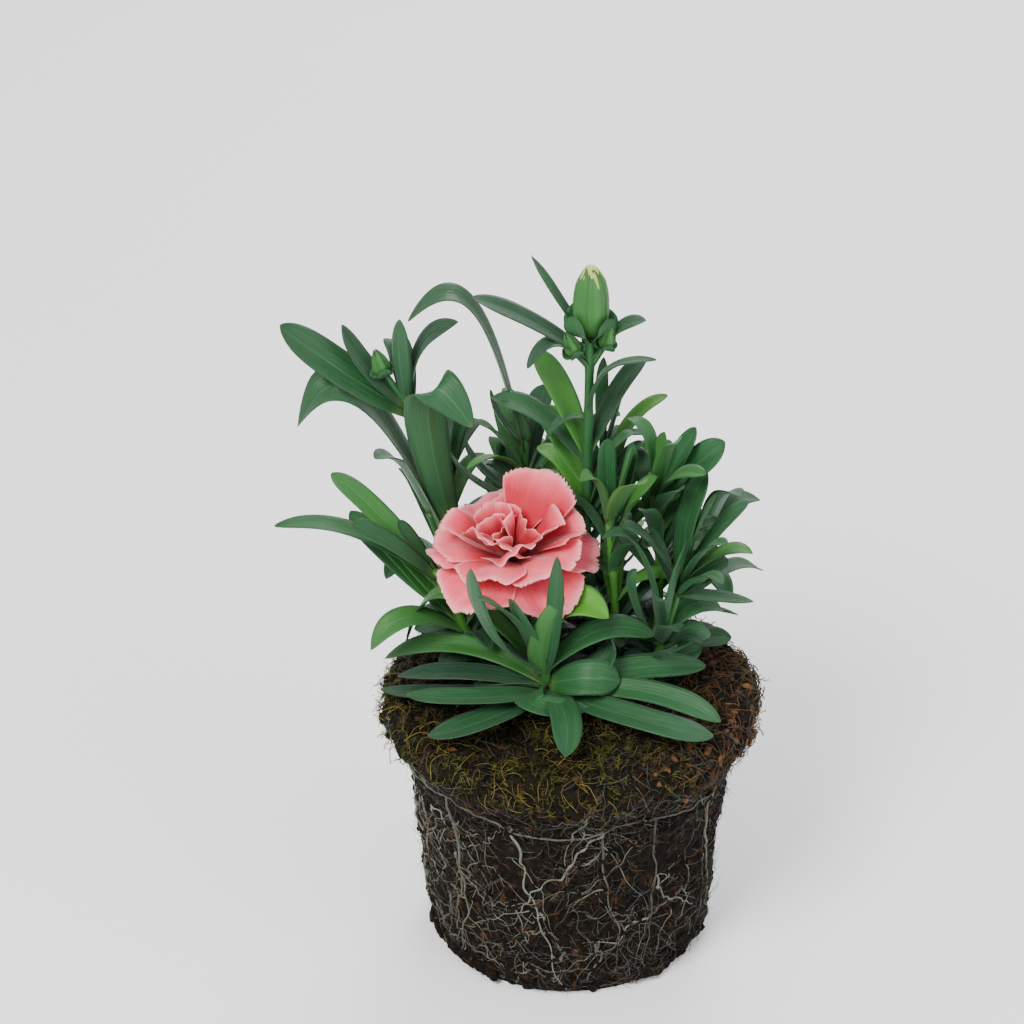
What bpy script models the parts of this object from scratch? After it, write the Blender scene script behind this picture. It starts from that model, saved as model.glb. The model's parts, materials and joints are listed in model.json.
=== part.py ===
"""A flowering dianthus lifted out of its pot: a bare root ball held by its roots, leafy shoots,
one open double bloom and one closed bud.

The origin is the centre of the flat underside of the root ball. X runs to the plant's right, Y away
from its front and Z up. Every size below is in millimetres and every angle in degrees; lengths are
turned to metres when a mesh is made.
"""
import math
import random
from dataclasses import dataclass, replace

import bmesh
import bpy
from mathutils import Matrix, Vector, noise
from mathutils.bvhtree import BVHTree

# Driving dimensions
MM = 0.001
PLANT = "dianthus_plant"
GAP = 0.3
BALL_HEIGHT = 88.0
BALL_SIDES = 36
BALL_PROFILE = (
    (57.5, BALL_HEIGHT - 1.5),
    (59.0, 84.0),
    (58.5, 79.0),
    (55.0, 73.0),
    (52.0, 68.0),
    (50.5, 61.0),
    (49.3, 50.0),
    (48.3, 40.0),
    (47.5, 30.0),
    (46.8, 20.0),
    (46.0, 10.0),
    (44.8, 3.0),
    (43.0, 0.0),
)
BALL_RELIEF = 1.3
TOP_RINGS = 5
STEM_DEPTH = 10.0
STEM_RADIUS = 1.5
LEAF_THICKNESS = 1.0
LEAF_ROWS = 5
FIRST_ROW = 0.05
SCALE_ROWS = 3
LEAF_KEEL = 0.13
LEAF_CLEARANCE = 0.6
PETAL_THICKNESS = 0.9
PETAL_ROWS = 4
PETAL_COLUMNS = 6
PETAL_TEETH = 0.05
BLOOM_PLACE = Vector((-18.3, 2.0, 132.5))
BLOOM_NOD = 10.0
BUD_PLACE = Vector((5.5, 20.0, 200.0))
BUD_SIZE = (5.6, 23.5)
BUD_OUTLINE = (
    (0.18, 1.0),
    (0.52, 0.93),
    (0.80, 0.80),
    (0.97, 0.60),
    (1.0, 0.38),
    (0.88, 0.18),
    (0.60, 0.05),
)
TOOTH_TURN = 18
BRACT_TURN = 45
SIDE_BUD_SIZE = (2.7, 8.5)
SIDE_BUD_FORK = Vector((5.4, 20.0, 189.0))
SIDE_BUDS = (((1.0, 18.5, 194.5), 22, 190), ((9.8, 18.5, 197.0), 14, -10))
LEFT_BUD_PLACE = Vector((-57.5, 22.5, 186.0))
LEFT_BUD_FORK = Vector((-50.5, 22.1, 176.0))
LEFT_BUD_SIZE = (2.8, 9.0)
CALYX_LENGTH = 22.0
CALYX_PROFILE = (
    (3.5, -1.2),
    (4.4, -0.9),
    (4.9, -2.2),
    (5.1, -8.0),
    (4.7, -14.0),
    (3.4, -19.5),
    (1.6, -22.5),
)
HEART_PROFILE = ((1.8, 3.5), (3.2, 1.5), (3.4, -1.0), (2.6, -3.0))
ROOT_RADIUS = 0.75
RING_POINTS = 36
RING_HEIGHT = 66.0
RUNNERS = 13
BRANCHES = 15
RISERS = 6


@dataclass(frozen=True)
class Leaf:
    """One blade: where it leaves its stem, where its tip is, and the crest that its arch aims at."""

    at: float
    heading: float
    reach: float
    rise: float
    crest: tuple
    width: float
    roll: float = 0.0


@dataclass(frozen=True)
class Shoot:
    """A stem through its points, with its leaves."""

    stem: tuple
    leaves: tuple
    radius: float = STEM_RADIUS


@dataclass(frozen=True)
class Petal:
    """One petal of the bloom, in the bloom's own frame."""

    heading: float
    tilt: float
    reach: float
    width: float
    curl: float
    wave: float
    phase: float
    twist: float
    shift: tuple = (0.0, 0.0)


SHOOTS = {
    "shoot_front": Shoot(
        ((-7, -12, 88), (-8, -13, 99), (-9, -14, 112)),
        (
            Leaf(8, 172, 47, -1, (25, 3, 8), 8.8),
            Leaf(7, 176, 52, -3, (25, 12, 3), 7.5),
            Leaf(6, -144, 45, 0, (30, 11, 6), 9.0),
            Leaf(6, -163, 45, 0, (26, 16, 7), 8.2),
            Leaf(8, -144, 29, -3, (22, -3, 8), 7.5, -15),
            Leaf(7, -82, 38, -1, (23, 5, 8), 7.8),
            Leaf(8, -70, 18, -1, (4, -29, 7), 8.0),
            Leaf(8, -8, 23, 3, (15, -13, 14), 9.5, 40),
            Leaf(8, 14, 51, 1, (29, -6, 10), 6.8, 35),
            Leaf(7, -18, 56, -2, (36, 6, 7), 6.8, 25),
            Leaf(6, -28, 57, 0, (40, -10, 6), 8.2, 15),
            Leaf(9, 13, 19, 17, (23, -7, 7), 7.5, 30),
            Leaf(14, 11, 35, 8, (17, -3, 23), 7.6, 20),
            Leaf(15, -25, 20, 23, (4, 3, 37), 10.0, 20),
            Leaf(11, -79, 16, 53, (10, 1, 23), 5.5),
            Leaf(12, -94, 12, 33, (8, -10, 17), 6.8),
            Leaf(14, -152, 32, 40, (16, 1, 33), 6.2, 20),
            Leaf(12, 154, 51, -1, (29, 21, 60), 8.4, 20),
            Leaf(15, -138, 28, 47, (27, 1, 20), 8.0, 20),
            Leaf(9, 167, 52, 1, (31, -10, 14), 7.0, 20),
            Leaf(13, -137, 20, 36, (12, -1, 24), 7.0, 20),
        ),
    ),
    "shoot_left": Shoot(
        ((-26, 6, 88), (-33, 4, 106), (-42, 2, 128)),
        (
            Leaf(18, -177, 33, 2, (24, 1, 22), 7.0, 20),
            Leaf(16, -172, 31, 33, (21, -1, 24), 6.5, 30),
            Leaf(22, -177, 30, 32, (20, 1, 27), 6.5, 30),
            Leaf(30, -170, 17, 27, (14, -1, 23), 5.5, 30),
            Leaf(38, 179, 52, 18, (28, 0, 27), 5.5, 20),
            Leaf(36, 172, 39, 26, (26, 0, 24), 6.5, 30),
            Leaf(40, 168, 27, 22, (19, 0, 21), 6.0, 30),
            Leaf(24, 173, 40, 27, (29, 1, 19), 7.0, 30),
        ),
    ),
    "shoot_tall_left": Shoot(
        ((-24, 26, 88), (-36, 26, 122), (-51, 22, 178)),
        (
            Leaf(36, -74, 21, 54, (6, -23, 93), 11.5, 20),
            Leaf(34, -168, 50, 51, (34, -1, 95), 12.0, 30),
            Leaf(89, -180, 39, 25, (23, 0, 13), 10.0, 45),
            Leaf(91, 175, 20, 27, (16, 0, 15), 7.0, 30),
            Leaf(92, -112, 4, 31, (4, 0, 17), 5.5),
            Leaf(92, 6, 16, 27, (0, 0, 26), 7.0, 20),
            Leaf(90, 125, 14, 18, (7, -1, 24), 7.0),
            Leaf(60, 80, 26, 22, (16, 0, 30), 7.0),
        ),
    ),
    "shoot_slender": Shoot(
        ((13, 32, 88), (11, 31, 128), (10, 30, 163)),
        (
            Leaf(70, 95, 3, 29, (2, 1, 16), 3.4),
            Leaf(68, 5, 6, 24, (4, 0, 14), 3.2),
            Leaf(62, -10, 14, 12, (5, 1, 16), 3.4),
            Leaf(62, 170, 8, 14, (4, 0, 8), 3.2),
            Leaf(48, 60, 18, 22, (8, 0, 22), 4.2),
            Leaf(48, -120, 5, 22, (6, 0, 12), 4.0),
        ),
        1.2,
    ),
    "shoot_bud": Shoot(
        ((6, 18, 88), (5, 19, 140), (5.5, 20, 203)),
        (
            Leaf(102, -163, 20, 2, (12, -2, 18), 6.0),
            Leaf(105, 178, 36, 17, (20, -1, 14), 6.5, 20),
            Leaf(104, -6, 17, 14, (8, 1, 15), 5.0, 20),
            Leaf(84, -16, 21, 23, (0, -4, 25), 4.5),
            Leaf(84, -165, 14, -6, (9, -1, 5), 3.2),
            Leaf(109, 150, 20, 26, (12, 1, 17), 4.0),
            Leaf(72, 158, 18, 32, (9, -1, 24), 9.0, 30),
            Leaf(68, 164, 31, 19, (15, -3, 21), 6.5, 20),
            Leaf(62, 146, 16, 22, (11, -1, 18), 8.0, 30),
            Leaf(72, 40, 24, 26, (12, 0, 24), 6.5),
            Leaf(103, 85, 22, 16, (12, 0, 18), 6.0),
        ),
        1.8,
    ),
    "shoot_right": Shoot(
        ((15, 8, 88), (14, 8, 112), (12, 8, 142)),
        (
            Leaf(48, 0, 6, 33, (1, 0, 21), 6.5),
            Leaf(44, -16, 14, 28, (3, -1, 21), 7.5, 30),
            Leaf(53, 75, 6, 28, (4, 1, 20), 5.0),
            Leaf(52, 42, 9, 28, (7, -1, 18), 5.0),
            Leaf(50, -158, 11, 21, (4, 1, 30), 6.5),
            Leaf(36, -60, 12, 16, (7, 0, 18), 6.0),
        ),
    ),
    "shoot_right_back": Shoot(
        ((28, 14, 88), (28, 14, 122), (25, 14, 156)),
        (
            Leaf(56, 0, 21, 23, (10, 0, 15), 8.5, 45),
            Leaf(60, 17, 13, 23, (7, 0, 13), 6.0, 40),
            Leaf(60, 145, 11, 24, (0, -3, 26), 5.5),
            Leaf(66, 33, 4, 16, (2, 1, 8), 4.5),
            Leaf(46, 40, 24, 20, (13, 0, 24), 7.0),
            Leaf(44, 100, 20, 18, (11, 0, 20), 6.5),
        ),
    ),
    "shoot_right_low": Shoot(
        ((24, -2, 88), (28, -2, 102), (34, -1, 126)),
        (
            Leaf(38, -5, 10, 33, (3, -1, 24), 4.5, 20),
            Leaf(38, 35, 9, 38, (1, 3, 29), 8.0, 30),
            Leaf(35, 159, 10, 15, (12, -1, 30), 7.5),
            Leaf(20, -179, 21, 37, (7, 0, 48), 6.0),
            Leaf(15, -153, 9, 32, (13, -4, 25), 5.0),
            Leaf(15, -31, 8, 42, (4, -2, 31), 5.0, 20),
            Leaf(35, -12, 24, 0, (7, -1, 2), 5.5),
            Leaf(22, 23, 20, 2, (11, 2, 13), 7.0, 30),
            Leaf(11, 18, 18, 6, (9, -3, 14), 6.5, 30),
        ),
    ),
    "shoot_middle": Shoot(
        ((-14, 31, 88), (-15, 32, 125), (-14, 33, 161)),
        (
            Leaf(70, -117, 5, 19, (1, 3, 5), 6.0),
            Leaf(69, 179, 11, 19, (8, 0, 7), 4.5),
            Leaf(48, -161, 26, 28, (22, -2, 11), 5.5),
            Leaf(50, -179, 18, 22, (17, 2, 11), 5.5),
            Leaf(54, 174, 9, 12, (9, 3, 14), 8.5, 30),
            Leaf(66, -172, 36, 46, (14, 0, 79), 7.5, 20),
            Leaf(58, 70, 20, 22, (11, 0, 20), 7.0),
            Leaf(36, 120, 24, 16, (14, 0, 22), 7.0),
        ),
    ),
}

# The back of the plant: shoots whose leaves stand in crossed pairs, as on the whole species
BACK_STEMS = {
    "shoot_back_left": ((-31, 31, 88), (-37, 37, 104), (-45, 43, 126)),
    "shoot_back": ((-2, 42, 88), (-3, 47, 106), (-5, 53, 130)),
    "shoot_back_right": ((33, 27, 88), (37, 31, 102), (43, 35, 120)),
}
BACK_PAIRS = 4
BACK_LEAF = Leaf(0, 0, 33, 4, (19, 0, 20), 7.5)

# Bloom layers from the outside in: petals, tilt, reach, width, curl, wave
BLOOM_LAYERS = (
    (6, 0, 27.5, 28, 4, 1.9),
    (5, 17, 25.5, 27, 2, 2.2),
    (6, 36, 19.0, 20, 0, 2.0),
    (4, 58, 16.0, 17, -1, 1.8),
    (3, 74, 12.5, 12, -1, 1.3),
)
# The inner layers gather round two middles, and one broad petal stands up behind the right one
BLOOM_MIDDLES = ((-7.0, -1.5), (6.5, 1.5))
STANDING_PETAL = (72, 52, 24.0, 25.0, -1, 1.6, 200, 4, BLOOM_MIDDLES[1])


def clear_scene():
    """Start from an empty scene."""
    for old in list(bpy.data.objects):
        bpy.data.objects.remove(old, do_unlink=True)


def collection(name):
    """A new collection in the scene."""
    group = bpy.data.collections.new(name)
    bpy.context.scene.collection.children.link(group)
    return group


def material(name, colour, roughness):
    """A plain Principled material."""
    made = bpy.data.materials.new(name)
    made.use_nodes = True
    shader = made.node_tree.nodes["Principled BSDF"]
    shader.inputs["Base Color"].default_value = (*colour, 1.0)
    shader.inputs["Roughness"].default_value = roughness
    shader.inputs["Metallic"].default_value = 0.0
    made.diffuse_color = (*colour, 1.0)
    return made


def heading_vector(angle):
    """Level unit vector at a compass angle."""
    return Vector((math.cos(math.radians(angle)), math.sin(math.radians(angle)), 0.0))


def smooth_path(points, steps):
    """Points along a smooth curve through the given ones, with steps to each span."""
    knots = [Vector(point) for point in points]
    ends = [2 * knots[0] - knots[1]] + knots + [2 * knots[-1] - knots[-2]]
    path = []
    for i in range(1, len(ends) - 2):
        a, b, c, d = ends[i - 1 : i + 3]
        for step in range(steps):
            t = step / steps
            bend = (2 * a - 5 * b + 4 * c - d) * t**2 + (3 * b - a - 3 * c + d) * t**3
            path.append(0.5 * (2 * b + (c - a) * t + bend))
    path.append(knots[-1])
    return path


def along(path, distance):
    """The point at a distance along a path."""
    for start, end in zip(path, path[1:]):
        span = (end - start).length
        if distance <= span:
            return start.lerp(end, distance / span)
        distance -= span
    return path[-1].copy()


def mesh_object(name, bm, group):
    """A mesh object in metres from a mesh drawn in millimetres."""
    bmesh.ops.scale(bm, vec=Vector((MM, MM, MM)), verts=bm.verts)
    mesh = bpy.data.meshes.new(name)
    bm.to_mesh(mesh)
    bm.free()
    made = bpy.data.objects.new(name, mesh)
    group.objects.link(made)
    return made


def evaluated_mesh(source):
    """The mesh that an object's modifiers or bevel give."""
    bpy.context.view_layer.update()
    return bpy.data.meshes.new_from_object(source.evaluated_get(bpy.context.evaluated_depsgraph_get()))


def tube(name, path, radii, group, resolution=1):
    """A closed round tube along a path, as a mesh: a bevelled curve with its caps welded."""
    curve = bpy.data.curves.new(name, "CURVE")
    curve.dimensions = "3D"
    curve.bevel_depth = MM
    curve.bevel_resolution = resolution
    curve.use_fill_caps = True
    spline = curve.splines.new("POLY")
    spline.points.add(len(path) - 1)
    for point, place, radius in zip(spline.points, path, radii):
        point.co = (*(place * MM), 1.0)
        point.radius = radius
    wire = bpy.data.objects.new(name, curve)
    group.objects.link(wire)
    mesh = evaluated_mesh(wire)
    bpy.data.objects.remove(wire)
    bm = bmesh.new()
    bm.from_mesh(mesh)
    bmesh.ops.remove_doubles(bm, verts=bm.verts, dist=0.01 * MM)
    bmesh.ops.recalc_face_normals(bm, faces=bm.faces)
    bm.to_mesh(mesh)
    bm.free()
    made = bpy.data.objects.new(name, mesh)
    group.objects.link(made)
    return made


def turned(profile, sides):
    """A closed turned mesh from a profile of (radius, height), top to bottom, drawn in millimetres."""
    mesh = bpy.data.meshes.new("profile")
    points = [(0.0, 0.0, profile[0][1])] + [(r, 0.0, z) for r, z in profile] + [(0.0, 0.0, profile[-1][1])]
    mesh.from_pydata([Vector(p) * MM for p in points], [(i, i + 1) for i in range(len(points) - 1)], [])
    made = bpy.data.objects.new("profile", mesh)
    bpy.context.scene.collection.objects.link(made)
    screw = made.modifiers.new("turn", "SCREW")
    screw.steps = sides
    screw.render_steps = sides
    screw.use_merge_vertices = True
    screw.merge_threshold = 0.00001
    solid = evaluated_mesh(made)
    bpy.data.objects.remove(made)
    bm = bmesh.new()
    bm.from_mesh(solid)
    bmesh.ops.scale(bm, vec=Vector((1, 1, 1)) / MM, verts=bm.verts)
    bmesh.ops.remove_doubles(bm, verts=bm.verts, dist=0.01)
    bmesh.ops.recalc_face_normals(bm, faces=bm.faces)
    return bm


def islands(bm):
    """The groups of joined faces in a mesh."""
    left = set(bm.faces)
    groups = []
    while left:
        front = [left.pop()]
        group = list(front)
        while front:
            for edge in front.pop().edges:
                for face in edge.link_faces:
                    if face in left:
                        left.remove(face)
                        front.append(face)
                        group.append(face)
        groups.append(group)
    return groups


def volume(faces):
    """Signed volume that triangles enclose."""
    return sum(f.verts[0].co.dot(f.verts[1].co.cross(f.verts[2].co)) / 6 for f in faces)


def one_body(mesh):
    """Keep a mesh's main body: hollows that the union sealed are filled, and loose scraps dropped.

    Returns whether what is left is closed.
    """
    bm = bmesh.new()
    bm.from_mesh(mesh)
    bmesh.ops.triangulate(bm, faces=bm.faces)
    for group in sorted(islands(bm), key=volume, reverse=True)[1:]:
        bmesh.ops.delete(bm, geom=group, context="FACES")
    closed = all(len(edge.link_faces) == 2 for edge in bm.edges)
    bm.to_mesh(mesh)
    bm.free()
    return closed


def fuse(name, pieces, colour, group):
    """One node from pieces that overlap, by a single union."""
    others = collection(name + "_pieces")
    for piece in pieces[1:]:
        others.objects.link(piece)
    union = pieces[0].modifiers.new("union", "BOOLEAN")
    union.operation = "UNION"
    union.operand_type = "COLLECTION"
    union.collection = others
    for solver in ("EXACT", "MANIFOLD"):
        union.solver = solver
        mesh = evaluated_mesh(pieces[0])
        if one_body(mesh):
            break
    mesh.name = name
    for piece in pieces:
        bpy.data.objects.remove(piece)
    bpy.data.collections.remove(others)
    made = bpy.data.objects.new(name, mesh)
    finish(made, colour, group)
    return made


def finish(made, colour, group):
    """Give an object its material, its shading and its collection."""
    made.data.materials.clear()
    made.data.materials.append(colour)
    made.data.shade_smooth()
    made.data.set_sharp_from_angle(angle=math.radians(40))
    for old in list(made.users_collection):
        old.objects.unlink(made)
    group.objects.link(made)


def sheet(columns, rows, surface):
    """A closed thin blade: a grid moved by surface(u, v, side) for its upper and its under side.

    Both sides are split into triangles alike, from the corners inwards, and they meet along the
    rim, where surface gives the same point for either side.
    """
    bm = bmesh.new()
    bmesh.ops.create_grid(bm, x_segments=columns, y_segments=rows, size=0.5)
    for face in bm.faces[:]:
        middle = face.calc_center_median()
        lean = 1 if middle.x * middle.y > 0 else -1
        ends = sorted(face.verts, key=lambda vert: vert.co.x + lean * vert.co.y)
        bmesh.utils.face_split(face, ends[0], ends[-1])
    under = bmesh.ops.duplicate(bm, geom=bm.verts[:] + bm.edges[:] + bm.faces[:])["geom"]
    bmesh.ops.reverse_faces(bm, faces=[item for item in under if isinstance(item, bmesh.types.BMFace)])
    below = {item for item in under if isinstance(item, bmesh.types.BMVert)}
    for vert in bm.verts:
        vert.co = surface(vert.co.x + 0.5, vert.co.y + 0.5, -1 if vert in below else 1)
    bmesh.ops.remove_doubles(bm, verts=bm.verts, dist=0.01)
    if bm.calc_volume(signed=True) < 0:
        bmesh.ops.reverse_faces(bm, faces=bm.faces)
    return bm


def row_share(v, rows):
    """Share of a blade's length at a grid row: the first row beyond the root lies close to it."""
    row = round(v * rows)
    if row < 2:
        return FIRST_ROW * row
    return FIRST_ROW + (1 - FIRST_ROW) * (row - 1) / (rows - 1)


def leaf_width(v):
    """Share of a leaf's full width at a share of its length."""
    start = min(1.0, v / 0.45)
    end = max(0.0, (v - 0.55) / 0.45)
    return (0.42 + 0.58 * start * (2 - start)) * (1 - end**2.4)


def leaf_surface(leaf, root, grow, rows):
    """The point of a leaf at (u across, v along) on its upper or under side."""
    out = heading_vector(leaf.heading)
    left = Vector((-out.y, out.x, 0.0))
    crest = root + out * leaf.crest[0] + left * leaf.crest[1] + Vector((0, 0, leaf.crest[2]))
    tip = root + out * leaf.reach + Vector((0, 0, leaf.rise))
    back = left if left.y >= 0 else -left
    roll = math.radians(leaf.roll)

    def point(u, v, side):
        v = row_share(v, rows)
        centre = (1 - v) ** 2 * root + 2 * v * (1 - v) * crest + v**2 * tip
        run = ((1 - v) * (crest - root) + v * (tip - crest)).normalized()
        across = back * math.cos(roll) + Vector((0, 0, math.sin(roll)))
        across = (across - run * across.dot(run)).normalized()
        up = run.cross(across) if back == left else across.cross(run)
        shut = 1.0 if 0.0 < v < 1.0 else 0.0
        half = (leaf.width * leaf_width(v) / 2 + grow) * shut
        middle = 1 - abs(2 * u - 1)
        keel = -LEAF_KEEL * leaf.width * leaf_width(v) * middle * shut
        ends = min(1.0, 12 * v, 6 * (1 - v))
        body = side * (LEAF_THICKNESS / 2 + grow) * middle * ends
        return centre + across * half * (2 * u - 1) + up * (keel + body)

    return point


def leaf_bm(leaf, root, grow=0.0, rows=LEAF_ROWS):
    """A leaf as a closed mesh."""
    return sheet(2, rows, leaf_surface(leaf, root, grow, rows))


class Room:
    """The space that the placed pieces take, for setting each new leaf clear of all but its own stem."""

    def __init__(self):
        self.taken = {}

    def add(self, owner, bm_or_mesh, scale=1.0):
        """Remember a piece's triangles."""
        verts, faces = self.taken.setdefault(owner, ([], []))
        first = len(verts)
        if isinstance(bm_or_mesh, bmesh.types.BMesh):
            bm_or_mesh.verts.index_update()
            verts.extend(vert.co * scale for vert in bm_or_mesh.verts)
            faces.extend([first + vert.index for vert in face.verts] for face in bm_or_mesh.faces)
        else:
            verts.extend(vert.co * scale for vert in bm_or_mesh.vertices)
            faces.extend([first + index for index in face.vertices] for face in bm_or_mesh.polygons)

    def trees(self, owner):
        """Search trees of what others than this owner take."""
        found = []
        for name, (verts, faces) in self.taken.items():
            if name != owner:
                found.append(BVHTree.FromPolygons(verts, faces))
        return found


def search_tree(mesh):
    """A search tree of a finished mesh, in millimetres."""
    return BVHTree.FromPolygons(
        [vert.co / MM for vert in mesh.vertices],
        [face.vertices for face in mesh.polygons],
    )


def turned_leaf(leaf, swing, lift):
    """The leaf swung round its stem and lifted or lowered a little."""
    out, left, up = leaf.crest
    return replace(
        leaf,
        heading=leaf.heading + swing,
        rise=leaf.rise + lift * leaf.reach,
        crest=(out, left, up + lift * leaf.reach * 0.6),
    )


def tries():
    """Swings and lifts to try, nearest first."""
    swings = (0, 4, -4, 8, -8, 12, -12, 17, -17, 23, -23, 30, -30)
    lifts = (0.0, 0.07, -0.07, 0.15, -0.15, 0.25, 0.38)
    pairs = [(swing, lift) for swing in swings for lift in lifts]
    return sorted(pairs, key=lambda pair: abs(pair[0]) / 10 + abs(pair[1]) / 0.1)


def outer_part(bm, root, reach):
    """A copy of a leaf without the stretch near its stem, where leaves of one shoot may meet."""
    verts = [vert.co.copy() for vert in bm.verts]
    faces = [
        [vert.index for vert in face.verts]
        for face in bm.faces
        if min((vert.co - root).length for vert in face.verts) > reach
    ]
    return BVHTree.FromPolygons(verts, faces) if faces else None


def place_leaf(leaf, root, others, own):
    """The leaf as near its wanted place as its neighbours leave room, or None."""
    near = max(9.0, 0.35 * max(leaf.reach, leaf.rise))
    for keep_clear_of_own in (True, False):
        for swing, lift in tries():
            candidate = turned_leaf(leaf, swing, lift)
            bm = leaf_bm(candidate, root, LEAF_CLEARANCE)
            bm.verts.index_update()
            tree = BVHTree.FromBMesh(bm)
            outer = outer_part(bm, root, near)
            bm.free()
            if any(tree.overlap(other) for other in others):
                continue
            if keep_clear_of_own and outer and any(outer.overlap(other) for other in own):
                continue
            return candidate, outer
    return None


def ball_relief(place):
    """How far the peat stands out or in at a place."""
    coarse = noise.noise(place * 0.055)
    fine = noise.noise(place * 0.16 + Vector((7, 3, 1)))
    return BALL_RELIEF * (1.1 * coarse + 0.7 * fine)


def ball_top(radius):
    """Height of the peat's upper face at a distance from the middle."""
    return BALL_HEIGHT + 0.8 * math.cos(math.pi * radius / BALL_PROFILE[0][0])


def root_ball_bm():
    """The root ball without its stem holes: a turned body, uneven but for its flat underside."""
    rim = BALL_PROFILE[0][0]
    radii = [rim * (i + 1) / (TOP_RINGS + 1) for i in range(TOP_RINGS)]
    top = tuple((radius, ball_top(radius)) for radius in radii)
    bm = turned(top + BALL_PROFILE, BALL_SIDES)
    for vert in bm.verts:
        if vert.co.z < 0.5:
            continue
        relief = ball_relief(vert.co)
        level = Vector((vert.co.x, vert.co.y, 0.0))
        if vert.co.z < BALL_HEIGHT - 2.0:
            vert.co += level.normalized() * relief
        else:
            vert.co.z += relief * 0.7
    bmesh.ops.triangulate(bm, faces=bm.faces)
    return bm


def stem_path(shoot):
    """The stem from its foot in the peat to its top."""
    first = Vector(shoot.stem[0])
    foot = Vector((first.x, first.y, BALL_HEIGHT - STEM_DEPTH))
    return [foot] + smooth_path([first] + [Vector(point) for point in shoot.stem[1:]], 4)


def stem_tube(name, shoot, group):
    """A shoot's stem, a little thinner at its top."""
    path = stem_path(shoot)
    radii = [shoot.radius * (1.0 - 0.25 * i / (len(path) - 1)) for i in range(len(path))]
    return tube(name, path, radii, group)


def hole_cutter(shoot, group):
    """A plain round hole in the peat for a stem's foot."""
    bpy.ops.mesh.primitive_cylinder_add(
        vertices=10,
        radius=(shoot.radius * 1.08 + GAP) * MM,
        depth=2 * (STEM_DEPTH + GAP) * MM,
        location=Vector((shoot.stem[0][0], shoot.stem[0][1], BALL_HEIGHT)) * MM,
    )
    cutter = bpy.context.active_object
    cutter.name = "stem_hole"
    cutter.hide_render = True
    cutter.display_type = "WIRE"
    for old in list(cutter.users_collection):
        old.objects.unlink(cutter)
    group.objects.link(cutter)
    return cutter


def back_shoots():
    """The shoots at the back, with leaves in crossed pairs up each stem."""
    chance = random.Random(11)
    shoots = {}
    for name, stem in BACK_STEMS.items():
        outward = math.degrees(math.atan2(stem[-1][1], stem[-1][0]))
        length = (Vector(stem[-1]) - Vector(stem[0])).length
        leaves = []
        for pair in range(BACK_PAIRS):
            share = (pair + 1) / BACK_PAIRS
            for half in range(2):
                lift = 8 * pair * share
                leaves.append(
                    replace(
                        BACK_LEAF,
                        at=6 + (length - 6) * share,
                        heading=outward + 90 * pair + 180 * half + chance.uniform(-18, 18),
                        reach=BACK_LEAF.reach * (1.1 - 0.45 * share) * chance.uniform(0.85, 1.1),
                        rise=BACK_LEAF.rise + lift,
                        crest=(19 * (1.1 - 0.5 * share), chance.uniform(-3, 3), 18 + lift * 0.6),
                        width=BACK_LEAF.width * chance.uniform(0.85, 1.1),
                    )
                )
        shoots[name] = Shoot(stem, tuple(leaves))
    return shoots


def bloom_petals():
    """Every petal of the bloom, layer by layer."""
    chance = random.Random(5)
    petals = [Petal(*STANDING_PETAL)]
    for layer, (count, tilt, reach, width, curl, wave) in enumerate(BLOOM_LAYERS):
        inner = layer > 1
        for i in range(count):
            petals.append(
                Petal(
                    heading=360 * i / count + 26 * layer + chance.uniform(-9, 9),
                    tilt=tilt + chance.uniform(-5, 5),
                    reach=reach * chance.uniform(0.93, 1.0),
                    width=width * chance.uniform(0.9, 1.05),
                    curl=curl + chance.uniform(-1, 1),
                    wave=wave,
                    phase=chance.uniform(0, 360),
                    twist=chance.uniform(-4, 12),
                    shift=BLOOM_MIDDLES[i % 2] if inner else (0.0, 0.0),
                )
            )
    return petals


def bloom_frame():
    """Where the bloom sits and how far it nods to the front."""
    return Matrix.Translation(BLOOM_PLACE) @ Matrix.Rotation(math.radians(BLOOM_NOD), 4, "X")


def petal_surface(petal, frame):
    """The point of a petal at (u across, v along) on its upper or under side."""
    out = heading_vector(petal.heading)
    left = Vector((-out.y, out.x, 0.0))
    tilt = math.radians(petal.tilt)
    middle = Vector((*petal.shift, 0.0))
    root = out * 1.2 + Vector((0, 0, -1.0))
    tip = middle + out * petal.reach * math.cos(tilt)
    tip.z = 2.5 + petal.reach * math.sin(tilt) - petal.curl
    crest = middle * 0.8 + out * petal.reach * 0.45 * math.cos(tilt)
    crest.z = 4.5 + petal.reach * 0.62 * math.sin(tilt)
    twist = math.radians(petal.twist)

    def point(u, v, side):
        side_share = 2 * u - 1
        v = row_share(v, PETAL_ROWS)
        column = round(u * PETAL_COLUMNS)
        tooth = PETAL_TEETH * (1 if column % 2 else -1) if v > 0.999 else 0.0
        reached = v * (1 - 0.2 * side_share**2 + tooth)
        centre = (1 - reached) ** 2 * root + 2 * reached * (1 - reached) * crest + reached**2 * tip
        run = ((1 - reached) * (crest - root) + reached * (tip - crest)).normalized()
        across = left * math.cos(twist) + Vector((0, 0, math.sin(twist)))
        across = (across - run * across.dot(run)).normalized()
        up = run.cross(across)
        shut = 1.0 if v > 0.0 else 0.0
        spread = math.sin(min(1.0, reached / 0.85) * math.pi / 2) ** 1.4
        half = shut * petal.width / 2 * (0.13 + 0.87 * spread)
        ripple = petal.wave * reached**1.5 * math.sin(math.radians(petal.phase) + side_share * 4.2)
        rim = min(1.0, 4 * (1 - abs(side_share))) * min(1.0, 12 * v) * min(1.0, 6 * (1 - v))
        body = side * PETAL_THICKNESS / 2 * rim
        cup = 0.08 * petal.width * side_share**2 * reached
        return frame @ (centre + across * half * side_share + up * (ripple + body + cup))

    return point


def moved(bm, frame):
    """A mesh placed by a matrix."""
    bmesh.ops.transform(bm, matrix=frame, verts=bm.verts)
    return bm


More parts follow.
